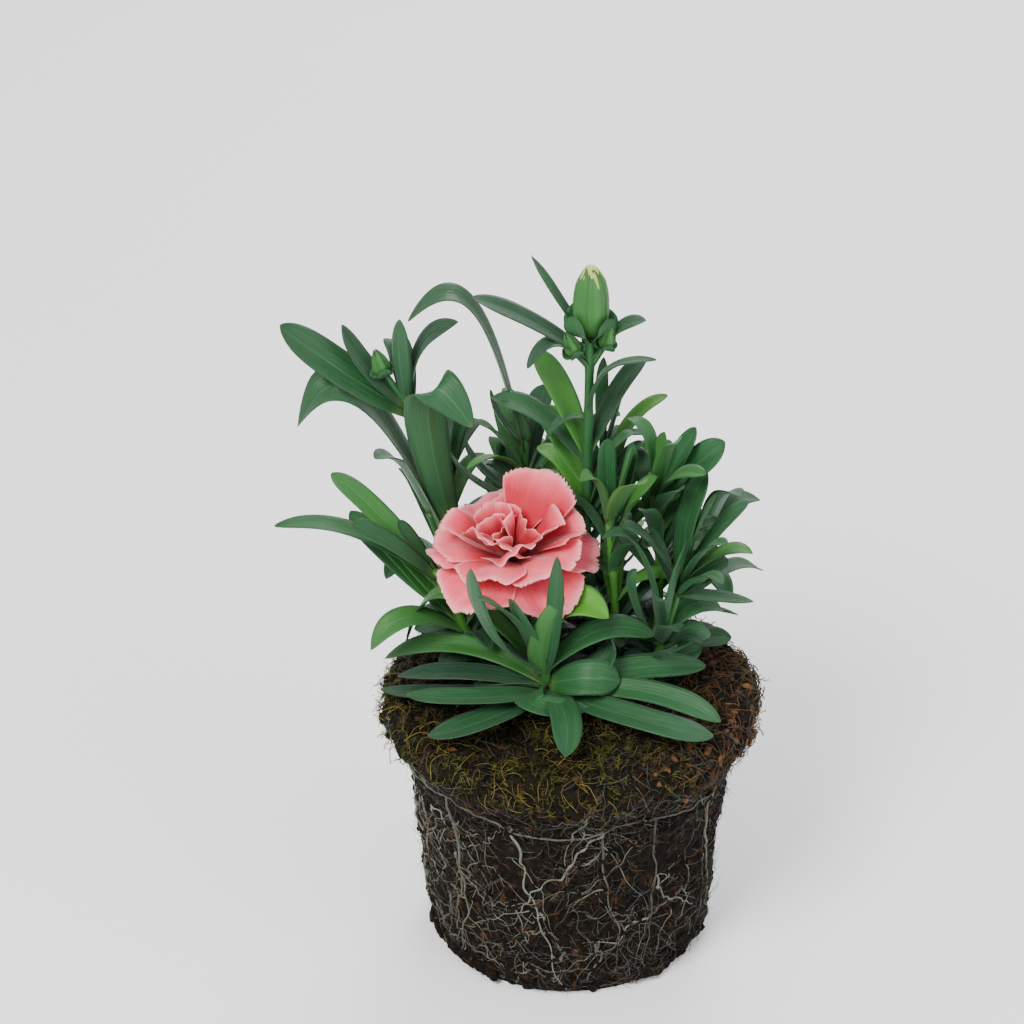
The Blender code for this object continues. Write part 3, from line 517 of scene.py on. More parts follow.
class Paint:
    """A material's node tree, filled by short calls that each return the socket to read."""

    def __init__(self, name: str, roughness: float, gloss: float) -> None:
        """Start from a plain Principled shader."""
        self.material = bpy.data.materials.new(name)
        self.material.use_nodes = True
        self.tree = self.material.node_tree
        self.shader = self.tree.nodes["Principled BSDF"]
        self.shader.inputs["Roughness"].default_value = roughness
        self.shader.inputs["Specular IOR Level"].default_value = gloss

    def add(self, kind: str, inputs: dict, **settings) -> bpy.types.Node:
        """Add a node to this material."""
        return add_node(self.tree, kind, inputs, **settings)

    def place(self) -> Socket:
        """Object coordinates."""
        return self.add("ShaderNodeTexCoord", {}).outputs["Object"]

    def height(self) -> Socket:
        """Height above the ground, in metres."""
        return self.add("ShaderNodeSeparateXYZ", {"Vector": self.place()}).outputs["Z"]

    def painted(self, name: str) -> Socket:
        """A value painted on the mesh."""
        return self.add("ShaderNodeAttribute", {}, attribute_name=name).outputs["Fac"]

    def math(self, operation: str, a: Value, b: Value = 0.0) -> Socket:
        """One sum."""
        return self.add("ShaderNodeMath", {0: a, 1: b}, operation=operation).outputs[0]

    def span(self, value: Value, low: float, high: float) -> Socket:
        """A value's place between two limits, from 0 to 1."""
        limits = {"Value": value, "From Min": low, "From Max": high}
        return self.add("ShaderNodeMapRange", limits).outputs[0]

    def vector(self, x: Value, y: Value, z: Value) -> Socket:
        """A vector of three values."""
        return self.add("ShaderNodeCombineXYZ", {"X": x, "Y": y, "Z": z}).outputs[0]

    def noise(self, vector: Socket, scale: float, detail: float = 2.0, rough: float = 0.5) -> Socket:
        """Soft noise from 0 to 1."""
        inputs = {"Vector": vector, "Scale": scale, "Detail": detail, "Roughness": rough}
        return self.add("ShaderNodeTexNoise", inputs).outputs[0]

    def lanes(
        self, across: Socket, wide: float, run: Socket, long: float, tone: Socket, seed: float, scale: float
    ) -> Socket:
        """Noise drawn out along a blade into veins, different on each blade by its tone."""
        lane = self.vector(
            self.math("MULTIPLY", across, wide),
            self.math("MULTIPLY", run, long),
            self.math("MULTIPLY", tone, seed),
        )
        return self.noise(lane, scale, 3.0, 0.58)

    def grain(self, vector: Socket, scale: float) -> Socket:
        """The distance to the nearest of scattered points."""
        return self.add("ShaderNodeTexVoronoi", {"Vector": vector, "Scale": scale}).outputs[0]

    def mix(self, share: Value, a: Paintable, b: Paintable, blend: str = "MIX") -> Socket:
        """Two colours mixed by a share."""
        settings = {"data_type": "RGBA", "blend_type": blend, "clamp_factor": True}
        node = self.add("ShaderNodeMix", {0: share}, **settings)
        for index, colour in ((6, a), (7, b)):
            if isinstance(colour, Socket):
                self.tree.links.new(colour, node.inputs[index])
            else:
                node.inputs[index].default_value = (*colour, 1.0)
        return node.outputs[2]

    def finish(self, colour: Socket, rough: Socket, relief: Socket, depth: float) -> bpy.types.Material:
        """Join colour, roughness and relief to the shader.

        Args:
            colour: The colour's socket.
            rough: The roughness's socket.
            relief: The relief's socket, from 0 to 1.
            depth: The height of the relief in metres.

        Returns:
            The finished material.
        """
        self.tree.links.new(colour, self.shader.inputs["Base Color"])
        self.tree.links.new(rough, self.shader.inputs["Roughness"])
        bump = self.add("ShaderNodeBump", {"Height": relief, "Distance": depth, "Strength": 1.0})
        self.tree.links.new(bump.outputs[0], self.shader.inputs["Normal"])
        return self.material


@dataclass(frozen=True)
class PeatFinish:
    """Dark damp peat: brown crumbs with painted shade near black in the hollows between them, orange bark,
    and moss where the light reaches it.
    """

    name: str = "damp_peat"
    # Painted shade: deep is a near black for the hollows between crumbs; the peat's own brown is crumb
    deep: Colour = (0.0016, 0.0011, 0.0008)
    crumb: Colour = (0.0125, 0.0074, 0.0044)
    bark: Colour = (0.055, 0.025, 0.010)
    moss: Colour = (0.020, 0.023, 0.005)
    moss_from: float = 0.070
    mossy: float = 0.3
    relief: float = 0.0018

    def build(self) -> bpy.types.Material:
        """The peat's material."""
        paint = Paint(self.name, 0.95, 0.12)
        place = paint.place()
        patches = paint.noise(place, 70.0, 3.0)
        crumbs = paint.noise(place, 420.0, 4.0, 0.65)
        grains = paint.grain(place, 600.0)
        # Painted shade: where the crumb noise is low, which is also where the bump sinks, the peat turns
        # near black
        mixed = paint.mix(paint.span(crumbs, 0.38, 0.68), self.deep, self.crumb)
        flecks = paint.math("MULTIPLY", paint.span(paint.noise(place, 260.0, 2.0), 0.62, 0.70), 0.8)
        mixed = paint.mix(flecks, mixed, self.bark)
        high = paint.span(paint.height(), self.moss_from, 0.089)
        lit = paint.math("MULTIPLY", high, paint.span(patches, 0.42, 0.62))
        mixed = paint.mix(paint.math("MULTIPLY", lit, self.mossy), mixed, self.moss)
        relief = paint.math("ADD", paint.math("MULTIPLY", crumbs, 0.7), paint.math("MULTIPLY", grains, 0.3))
        rough = paint.math("ADD", paint.math("MULTIPLY", patches, 0.2), 0.78)
        return paint.finish(mixed, rough, relief, self.relief)


@dataclass(frozen=True)
class FibreFinish:
    """Roots, hairs and fibres, from one colour to another by the tone of each."""

    name: str
    dark: Colour
    pale: Colour
    stain: Colour = (0.10, 0.065, 0.035)
    stained: float = 0.45
    roughness: float = 0.75

    def build(self) -> bpy.types.Material:
        """The fibres' material."""
        paint = Paint(self.name, self.roughness, 0.2)
        place = paint.place()
        streaks = paint.noise(place, 900.0, 3.0)
        patches = paint.noise(place, 130.0, 2.0)
        colour = paint.mix(paint.painted("tone"), self.dark, self.pale)
        soiled = paint.math("MULTIPLY", paint.span(patches, 0.45, 0.72), self.stained)
        colour = paint.mix(soiled, colour, self.stain)
        shade = paint.math("MULTIPLY", paint.span(streaks, 0.3, 0.7), 0.3)
        colour = paint.mix(shade, colour, self.stain, "MULTIPLY")
        rough = paint.math("ADD", paint.math("MULTIPLY", streaks, 0.2), self.roughness - 0.1)
        return paint.finish(colour, rough, streaks, 0.00015)


@dataclass(frozen=True)
class LeafFinish:
    """Waxy leaf: parallel veins, a pale thin margin, a grooved midrib and a greyer underside."""

    name: str = "waxy_leaf"
    dark: Colour = (0.0040, 0.0230, 0.0105)
    middle: Colour = (0.0110, 0.0760, 0.0160)
    fresh: Colour = (0.072, 0.270, 0.010)
    under: Colour = (0.018, 0.084, 0.030)
    wax: Colour = (0.018, 0.086, 0.052)
    margin: Colour = (0.050, 0.165, 0.062)
    foot: Colour = (0.14, 0.25, 0.06)
    dry_tip: Colour = (0.16, 0.12, 0.04)
    roughness: float = 0.48

    def build(self) -> bpy.types.Material:
        """The leaves' material."""
        paint = Paint(self.name, self.roughness, 0.32)
        place = paint.place()
        across = paint.painted("across")
        run = paint.painted("along")
        tone = paint.painted("tone")
        edge = paint.math("ABSOLUTE", across)
        mottle = paint.noise(place, 90.0, 3.0)
        veins = paint.lanes(across, 7.0, run, 1.6, tone, 30.0, 1.6)
        low = paint.mix(paint.span(tone, 0.0, 0.5), self.dark, self.middle)
        colour = paint.mix(paint.span(tone, 0.5, 1.0), low, self.fresh)
        waxy = paint.math("MULTIPLY", paint.span(mottle, 0.35, 0.75), paint.span(run, 0.1, 1.1))
        layers = (
            (waxy, 0.34, self.wax),
            (paint.painted("under"), 0.5, self.under),
            (paint.span(veins, 0.42, 0.66), 0.18, self.margin),
            (paint.span(edge, 0.085, 0.015), 0.28, self.margin),
            (paint.span(edge, 0.91, 0.99), 0.35, self.margin),
            (paint.span(run, 0.12, 0.0), 0.5, self.foot),
            (paint.span(run, 0.978, 1.0), 0.5, self.dry_tip),
        )
        for share, strength, over in layers:
            colour = paint.mix(paint.math("MULTIPLY", share, strength), colour, over)
        rough = paint.math("ADD", paint.math("MULTIPLY", mottle, 0.25), self.roughness - 0.12)
        relief = paint.math("ADD", paint.math("MULTIPLY", veins, 0.8), paint.math("MULTIPLY", mottle, 0.2))
        paint.shader.inputs["Sheen Weight"].default_value = 0.05
        paint.shader.inputs["Sheen Roughness"].default_value = 0.5
        return paint.finish(colour, rough, relief, 0.00035)


@dataclass(frozen=True)
class PetalFinish:
    """Matt salmon-pink petal: deep throat, fine fanned veins, paler rim, a creamy back, and painted light:
    a lit pink over a shaded pink, in patches and towards the tips.
    """

    name: str = "salmon_petal"
    throat: Colour = (0.46, 0.003, 0.022)
    # Painted light: body is the petal pink as it looks in shade, and light is the same pink as it looks lit
    body: Colour = (0.78, 0.062, 0.105)
    light: Colour = (0.86, 0.140, 0.190)
    rim: Colour = (0.92, 0.38, 0.38)
    back: Colour = (0.82, 0.23, 0.21)
    claw: Colour = (0.58, 0.36, 0.14)

    def build(self) -> bpy.types.Material:
        """The petals' material."""
        paint = Paint(self.name, 0.62, 0.25)
        place = paint.place()
        across = paint.painted("across")
        run = paint.painted("along")
        back = paint.painted("under")
        tone = paint.painted("tone")
        veins = paint.lanes(across, 11.0, run, 1.2, tone, 40.0, 1.7)
        mottle = paint.noise(place, 160.0, 3.0)
        # Painted light and shade: the mottle, which also raises the bump, turns the shaded pink into the
        # lit pink
        colour = paint.mix(paint.span(mottle, 0.3, 0.7), self.body, self.light)
        streaked = paint.math("MULTIPLY", paint.math("SUBTRACT", veins, 0.5), 0.22)
        inner = paint.math("MULTIPLY", paint.painted("inner"), -0.24)
        reach = paint.math("ADD", run, paint.math("ADD", streaked, inner))
        layers = (
            # Painted light: the outer half of each petal, towards its tip, is painted in the lit pink
            (paint.span(run, 0.55, 1.0), 0.5, self.light),
            (back, 0.45, self.back),
            (paint.math("MULTIPLY", back, paint.span(run, 0.8, 0.4)), 0.4, self.claw),
            (paint.span(reach, 0.66, 0.36), 0.9, self.throat),
            (paint.span(veins, 0.54, 0.66), 0.22, self.throat),
            (paint.painted("rim"), 0.7, self.rim),
        )
        for share, strength, over in layers:
            colour = paint.mix(paint.math("MULTIPLY", share, strength), colour, over)
        rough = paint.math("ADD", paint.math("MULTIPLY", mottle, 0.2), 0.5)
        relief = paint.math("ADD", paint.math("MULTIPLY", veins, 0.7), paint.math("MULTIPLY", mottle, 0.3))
        paint.shader.inputs["Sheen Weight"].default_value = 0.25
        paint.shader.inputs["Sheen Roughness"].default_value = 0.4
        paint.shader.inputs["Subsurface Weight"].default_value = 0.12
        paint.shader.inputs["Subsurface Radius"].default_value = (0.9, 0.35, 0.25)
        paint.shader.inputs["Subsurface Scale"].default_value = 0.002
        return paint.finish(colour, rough, relief, 0.0004)


@dataclass(frozen=True)
class CreamFinish:
    """The cream and yellow-green tips of the folded petals in a bud."""

    name: str = "bud_cream"
    foot: Colour = (0.16, 0.27, 0.04)
    tip: Colour = (0.58, 0.56, 0.17)

    def build(self) -> bpy.types.Material:
        """The bud tips' material."""
        paint = Paint(self.name, 0.6, 0.3)
        place = paint.place()
        streaks = paint.noise(place, 700.0, 2.0)
        colour = paint.mix(paint.painted("along"), self.foot, self.tip)
        colour = paint.mix(paint.math("MULTIPLY", streaks, 0.3), colour, self.foot)
        rough = paint.math("ADD", paint.math("MULTIPLY", streaks, 0.2), 0.5)
        return paint.finish(colour, rough, streaks, 0.0003)


def leaf_width(v: float) -> float:
    """Share of a leaf's full width at a share of its length: a narrow foot and a blunt round tip."""
    start = min(1.0, v / 0.45)
    end = max(0.0, (v - 0.55) / 0.45)
    return (0.42 + 0.58 * start * (2 - start)) * (1 - end**3.2) ** 0.72


@dataclass(frozen=True)
class LeafCurve:
    """The middle line of one leaf and the directions across and above it."""

    leaf: Leaf
    root: Vector

    def at(self, v: float) -> tuple[Vector, Vector, Vector]:
        """The place, the way across and the way up at a share of the length."""
        out = heading_vector(self.leaf.heading)
        left = Vector((-out.y, out.x, 0.0))
        outward, sideways, upward = self.leaf.crest
        crest = self.root + out * outward + left * sideways + Vector((0, 0, upward))
        tip = self.root + out * self.leaf.reach + Vector((0, 0, self.leaf.rise))
        back = left if left.y >= 0 else -left
        roll = math.radians(self.leaf.roll)
        centre = (1 - v) ** 2 * self.root + 2 * v * (1 - v) * crest + v**2 * tip
        run = ((1 - v) * (crest - self.root) + v * (tip - crest)).normalized()
        across = back * math.cos(roll) + Vector((0, 0, math.sin(roll)))
        across = (across - run * across.dot(run)).normalized()
        up = run.cross(across) if back == left else across.cross(run)
        return centre, across, up


@dataclass(frozen=True)
class LeafCut:
    """How finely a leaf is made, and its section."""

    columns: int = 8
    rows: int = 26
    fullness: float = 1.22
    thickness: float = 0.62
    rim: float = 0.10
    channel: float = 0.13
    groove: float = 0.14
    rib: float = 0.30
    ridge: float = 0.035
    wave: float = 0.22
    groove_width: float = 0.16
    rib_width: float = 0.2
    ridges: float = 5.0
    waves: float = 9.0
    other_side: float = 2.2
    turn: float = 10.0
    crowding: float = 1.5
    last: float = 0.9995
    least_half: float = 0.06

    def add(self, shape: Shape, leaf: Leaf, root: Vector, tone: float, chance: random.Random) -> None:
        """Add one leaf to a shape.

        Args:
            shape: The shape that the leaf joins.
            leaf: The leaf, as it was fitted.
            root: Where it leaves its stem.
            tone: How yellow-green it is.
            chance: The source of its small differences.
        """
        curve = LeafCurve(leaf, root)
        phase = chance.uniform(0, math.tau)
        turn = chance.uniform(-self.turn, self.turn)
        rings, across_rows, along_rows, under_rows = [], [], [], []
        for row in range(self.rows + 1):
            v = min(self.last, 1 - (1 - row / self.rows) ** self.crowding)
            centre, flat, over = curve.at(v)
            swing = math.radians(turn * v * v)
            across = flat * math.cos(swing) + over * math.sin(swing)
            up = over * math.cos(swing) - flat * math.sin(swing)
            width = self.fullness * leaf.width * leaf_width(v)
            half = max(self.least_half, width / 2)
            taper = min(1.0, 0.55 + 6 * v) * min(1.0, 5 * (1 - v) + 0.12)
            ring, sides, unders = [], [], []
            for i in range(2 * self.columns):
                side = 1 if i <= self.columns else -1
                share = (i if side > 0 else 2 * self.columns - i) / self.columns * 2 - 1
                height = -self.channel * width * (1 - abs(share) ** 1.5)
                side_phase = phase + (self.other_side if share > 0 else 0.0)
                height += self.wave * v * math.sin(self.waves * v + side_phase) * abs(share) ** 2
                body = (self.thickness * math.sqrt(max(0.0, 1 - share * share)) + self.rim) / 2
                if side > 0:
                    height += body * taper - self.groove * bump_at(share, 0.0, self.groove_width) * taper
                else:
                    rib = self.rib * (1 - 0.8 * v) * bump_at(share, 0.0, self.rib_width)
                    height -= (body + rib) * taper
                height += side * self.ridge * math.cos(share * math.pi * self.ridges) * taper
                ring.append(centre + across * half * share + up * height)
                sides.append(share)
                unders.append(0.0 if side > 0 else 1.0)
            rings.append(ring)
            across_rows.append(sides)
            along_rows.append([v] * len(ring))
            under_rows.append(unders)
        shape.loft(rings, across=across_rows, along=along_rows, under=under_rows, tone=tone)


def turned_leaf(leaf: Leaf, swing: float, lift: float) -> Leaf:
    """The leaf swung round its stem and lifted or lowered a little."""
    out, left, up = leaf.crest
    return replace(
        leaf,
        heading=leaf.heading + swing,
        rise=leaf.rise + lift * leaf.reach,
        crest=(out, left, up + lift * leaf.reach * 0.6),
    )


@dataclass(frozen=True)
class LeafFit:
    """Finds where a leaf lies in the frame: its solid was swung or lifted until it had room."""

    swings: tuple[float, ...] = (0, 4, -4, 8, -8, 12, -12, 17, -17, 23, -23, 30, -30)
    lifts: tuple[float, ...] = (0.0, 0.07, -0.07, 0.15, -0.15, 0.25, 0.38)
    shares: tuple[float, ...] = (0.3, 0.5, 0.7, 0.85, 0.98)
    side: float = 0.42
    channel: float = 0.13
    allowed: float = 0.75

    def best(self, leaf: Leaf, root: Vector, tree: BVHTree) -> Leaf | None:
        """The leaf as its solid lies, or None if no solid stands for it.

        Args:
            leaf: The leaf as it was wanted.
            root: Where it leaves its stem.
            tree: A search tree of the node that holds it, in metres.
        """
        found, least = None, self.allowed
        for swing in self.swings:
            for lift in self.lifts:
                candidate = turned_leaf(leaf, swing, lift)
                off = self.distance(candidate, root, tree, least)
                if off < least:
                    found, least = candidate, off
        return found

    def distance(self, leaf: Leaf, root: Vector, tree: BVHTree, enough: float) -> float:
        """The mean distance in millimetres of a leaf's middle and sides from the solid."""
        curve = LeafCurve(leaf, root)
        total, count = 0.0, 3 * len(self.shares)
        for v in self.shares:
            centre, across, up = curve.at(v)
            half = leaf.width * leaf_width(v) / 2
            for share in (0.0, self.side, -self.side):
                keel = -self.channel * leaf.width * leaf_width(v) * (1 - abs(share))
                place = (centre + across * half * share + up * keel) * MM
                total += tree.find_nearest(place)[3] / MM
            if total / count > enough:
                return math.inf
        return total / count


@dataclass
class LeafyShoot:
    """One shoot: a jointed stem with its leaves."""

    name: str
    shoot: Shoot
    tone: float
    cut: LeafCut = LeafCut()
    fit: LeafFit = LeafFit()
    sides: int = 14
    steps: int = 12
    foot_depth: float = 10.0
    ground: float = BALL_HEIGHT
    joint: float = 0.32
    joint_width: float = 1.7
    widths: tuple[float, ...] = (1.22, 1.1, 0.98, 0.86, 0.74)
    lifts: tuple[float, ...] = (0.0, -0.04, 0.04, -0.09, 0.09)
    clear: float = 0.9

    def stem_line(self) -> list[Vector]:
        """The stem's middle line above the peat."""
        return smooth_path([Vector(point) for point in self.shoot.stem], self.steps)

    def coarse_line(self) -> list[Vector]:
        """The line that the solid's leaves are rooted on."""
        return smooth_path([Vector(point) for point in self.shoot.stem], 4)

    def add_stem(self, shape: Shape) -> None:
        """Add the stem, swollen where its leaves leave it."""
        line = self.stem_line()
        foot = Vector((line[0].x, line[0].y, self.ground - self.foot_depth))
        path = [foot, foot.lerp(line[0], 0.5)] + line
        joints = sorted({round(leaf.at / 3) * 3 for leaf in self.shoot.leaves})
        radii, walked = [], -self.foot_depth
        for i, place in enumerate(path):
            if i:
                walked += (place - path[i - 1]).length
            thin = self.shoot.radius * (1.0 - 0.25 * i / (len(path) - 1))
            swell = max([bump_at(walked, at, self.joint_width) for at in joints] or [0.0])
            radii.append(thin * (1 + self.joint * swell))
        shares = [[0.12 + 0.5 * i / len(path)] * self.sides for i in range(len(path))]
        shape.tube(path, radii, self.sides, along=shares, across=0.5, under=0.0, tone=self.tone + 0.25)

    def space(self, leaf: Leaf, root: Vector, fullness: float, bloom: BVHTree) -> float:
        """The least distance in millimetres from a leaf of a certain fullness to the bloom."""
        curve = LeafCurve(leaf, root)
        least = math.inf
        for k in range(1, 15):
            centre, across, _ = curve.at(k / 14)
            half = fullness * leaf.width * leaf_width(k / 14) / 2
            for side in (-1, -0.5, 0, 0.5, 1):
                near = bloom.find_nearest((centre + across * half * side) * MM)[3] / MM
                least = min(least, near)
        return least

    def roomy(self, leaf: Leaf, root: Vector, bloom: BVHTree) -> tuple[Leaf, LeafCut]:
        """The leaf and its cut at the fullest width that stays clear of the bloom.

        Args:
            leaf: The leaf as it was fitted to its solid.
            root: Where it leaves its stem.
            bloom: A search tree of the finished petals.
        """
        best, most = (leaf, self.cut), -1.0
        for lift in self.lifts:
            moved = turned_leaf(leaf, 0, lift)
            for fullness in self.widths:
                room = self.space(moved, root, fullness, bloom)
                cut = replace(self.cut, fullness=fullness)
                if room > self.clear:
                    return moved, cut
                if room > most:
                    best, most = (moved, cut), room
        LOG.info("%s: a leaf at %.0f is %.1f mm from the bloom", self.name, leaf.heading, most)
        return best

    def build(self, shape: Shape, bloom: BVHTree) -> int:
        """Fit and add every leaf.

        Args:
            shape: The shape that the shoot is added to.
            bloom: A search tree of the finished petals, which the leaves stay clear of.

        Returns:
            How many of its leaves are there.
        """
        tree = search_tree(frame["nodes"][self.name].data)
        chance = random.Random(self.name)
        self.add_stem(shape)
        line = self.coarse_line()
        placed = 0
        for index, leaf in enumerate(self.shoot.leaves):
            root = along(line, leaf.at)
            fitted = self.fit.best(leaf, root, tree)
            tone = LEAF_TONES.get((self.name, index), self.tone + chance.uniform(-0.14, 0.14))
            if fitted:
                moved, cut = self.roomy(fitted, root, bloom)
                cut.add(shape, moved, root, clamped(tone), chance)
                placed += 1
        return placed


def back_shoots() -> dict[str, Shoot]:
    """The shoots at the back, with leaves in crossed pairs up each stem."""
    chance = random.Random(11)
    shoots = {}
    for name, stem in BACK_STEMS.items():
        outward = math.degrees(math.atan2(stem[-1][1], stem[-1][0]))
        length = (Vector(stem[-1]) - Vector(stem[0])).length
        leaves = []
        for pair in range(BACK_PAIRS):
            share = (pair + 1) / BACK_PAIRS
            for half in range(2):
                lift = 8 * pair * share
                leaves.append(
                    replace(
                        BACK_LEAF,
                        at=BACK_FOOT + (length - BACK_FOOT) * share,
                        heading=outward + 90 * pair + 180 * half + chance.uniform(-BACK_SWING, BACK_SWING),
                        reach=BACK_LEAF.reach * (1.1 - 0.45 * share) * chance.uniform(0.85, 1.1),
                        rise=BACK_LEAF.rise + lift,
                        crest=(19 * (1.1 - 0.5 * share), chance.uniform(-3, 3), 18 + lift * 0.6),
                        width=BACK_LEAF.width * chance.uniform(0.85, 1.1),
                    )
                )
        shoots[name] = Shoot(stem, tuple(leaves))
    return shoots


@dataclass(frozen=True)
class LeafBand:
    """A stretch of the stems and the young leaves wanted on it, with lowest and highest values."""

    wanted: int
    at: tuple[float, float]
    reach: tuple[float, float]
    rise: tuple[float, float]
    width: tuple[float, float]
    tone: tuple[float, float]


@dataclass
class YoungLeaves:
    """Young leaves that fill the crown, set where the grown ones leave room.

    The sight fields bound the bloom as seen from the camera: its column in X, its row across the view,
    the depth in front of which a leaf would hide it, and half its width and height.
    """

    bands: tuple[LeafBand, ...] = (
        LeafBand(84, (1.5, 17), (11, 27), (0, 20), (5.2, 8.0), (0.05, 0.42)),
        LeafBand(90, (16, 60), (13, 27), (8, 28), (4.8, 7.4), (0.25, 0.85)),
    )
    tries: int = 36
    room: float = 1.3
    spacing: float = 2.2
    edge: float = 57.0
    lowest: float = 88.8
    sight_column: float = -18.3
    sight_row: float = 114.9
    sight_depth: float = -62.0
    sight_half: tuple[float, float] = (29.0, 21.0)
    cut: LeafCut = LeafCut(columns=6, rows=16, fullness=1.1)

    def candidate(self, band: LeafBand, stem: list[Vector], chance: random.Random) -> tuple[Leaf, Vector]:
        """A leaf that might grow from a stem, and its root."""
        reach = chance.uniform(*band.reach)
        rise = chance.uniform(*band.rise)
        out = reach * chance.uniform(0.4, 0.6)
        crest = (out, chance.uniform(-3, 3), rise * 0.7 + chance.uniform(4, 10))
        width = chance.uniform(*band.width)
        leaf = Leaf(0, chance.uniform(0, 360), reach, rise, crest, width, chance.uniform(-20, 35))
        return leaf, along(stem, chance.uniform(*band.at))

    def samples(self, leaf: Leaf, root: Vector) -> list[Vector]:
        """Points on the leaf's outline and middle line, beyond its foot."""
        curve = LeafCurve(leaf, root)
        points = []
        for k in range(2, 9):
            centre, across, _ = curve.at(k / 8)
            half = leaf.width * leaf_width(k / 8) / 2
            points += [centre, centre + across * half, centre - across * half]
        return points

    def hides_bloom(self, place: Vector) -> bool:
        """Whether a place stands between the bloom and someone who looks from the front."""
        lift = math.radians(Studio.elevation)
        row = place.z * math.cos(lift) - place.y * math.sin(lift)
        depth = place.y * math.cos(lift) - place.z * math.sin(lift)
        beside = abs(place.x - self.sight_column) > self.sight_half[0]
        return not beside and abs(row - self.sight_row) < self.sight_half[1] and depth < self.sight_depth

    def fits(self, points: list[Vector], grown: list[BVHTree], young: KDTree) -> bool:
        """Whether a leaf through these points stays over the peat and clear of all other leaves."""
        for place in points:
            if math.hypot(place.x, place.y) > self.edge or place.z < self.lowest or self.hides_bloom(place):
                return False
            if young.find(place)[2] < self.spacing:
                return False
            if any(tree.find_nearest(place * MM, self.room * MM)[0] for tree in grown):
                return False
        return True

    def build(self, finish: bpy.types.Material, grown: list[BVHTree]) -> None:
        """Make the young leaves as one piece.

        Args:
            finish: The leaves' material.
            grown: Search trees of everything that is there already.
        """
        chance = random.Random(19)
        shape = Shape()
        stems = [smooth_path([Vector(p) for p in shoot.stem], 4) for shoot in SHOOTS.values()]
        taken: list[Vector] = [Vector((0.0, 0.0, -100.0))]
        for band in self.bands:
            placed = 0
            for number in range(band.wanted * self.tries):
                if placed == band.wanted:
                    break
                leaf, root = self.candidate(band, stems[number % len(stems)], chance)
                points = self.samples(leaf, root)
                if self.fits(points, grown, self.young_tree(taken)):
                    self.cut.add(shape, leaf, root, chance.uniform(*band.tone), chance)
                    taken += points
                    placed += 1
            LOG.info("young leaves: %d of %d", placed, band.wanted)
        dress(shape.mesh("young_leaves_mesh"), "young_leaves", Slot.LEAVES, finish)

    def young_tree(self, taken: list[Vector]) -> KDTree:
        """A tree that finds the nearest point of the young leaves so far."""
        tree = KDTree(len(taken))
        for index, place in enumerate(taken):
            tree.insert(place, index)
        tree.balance()
        return tree


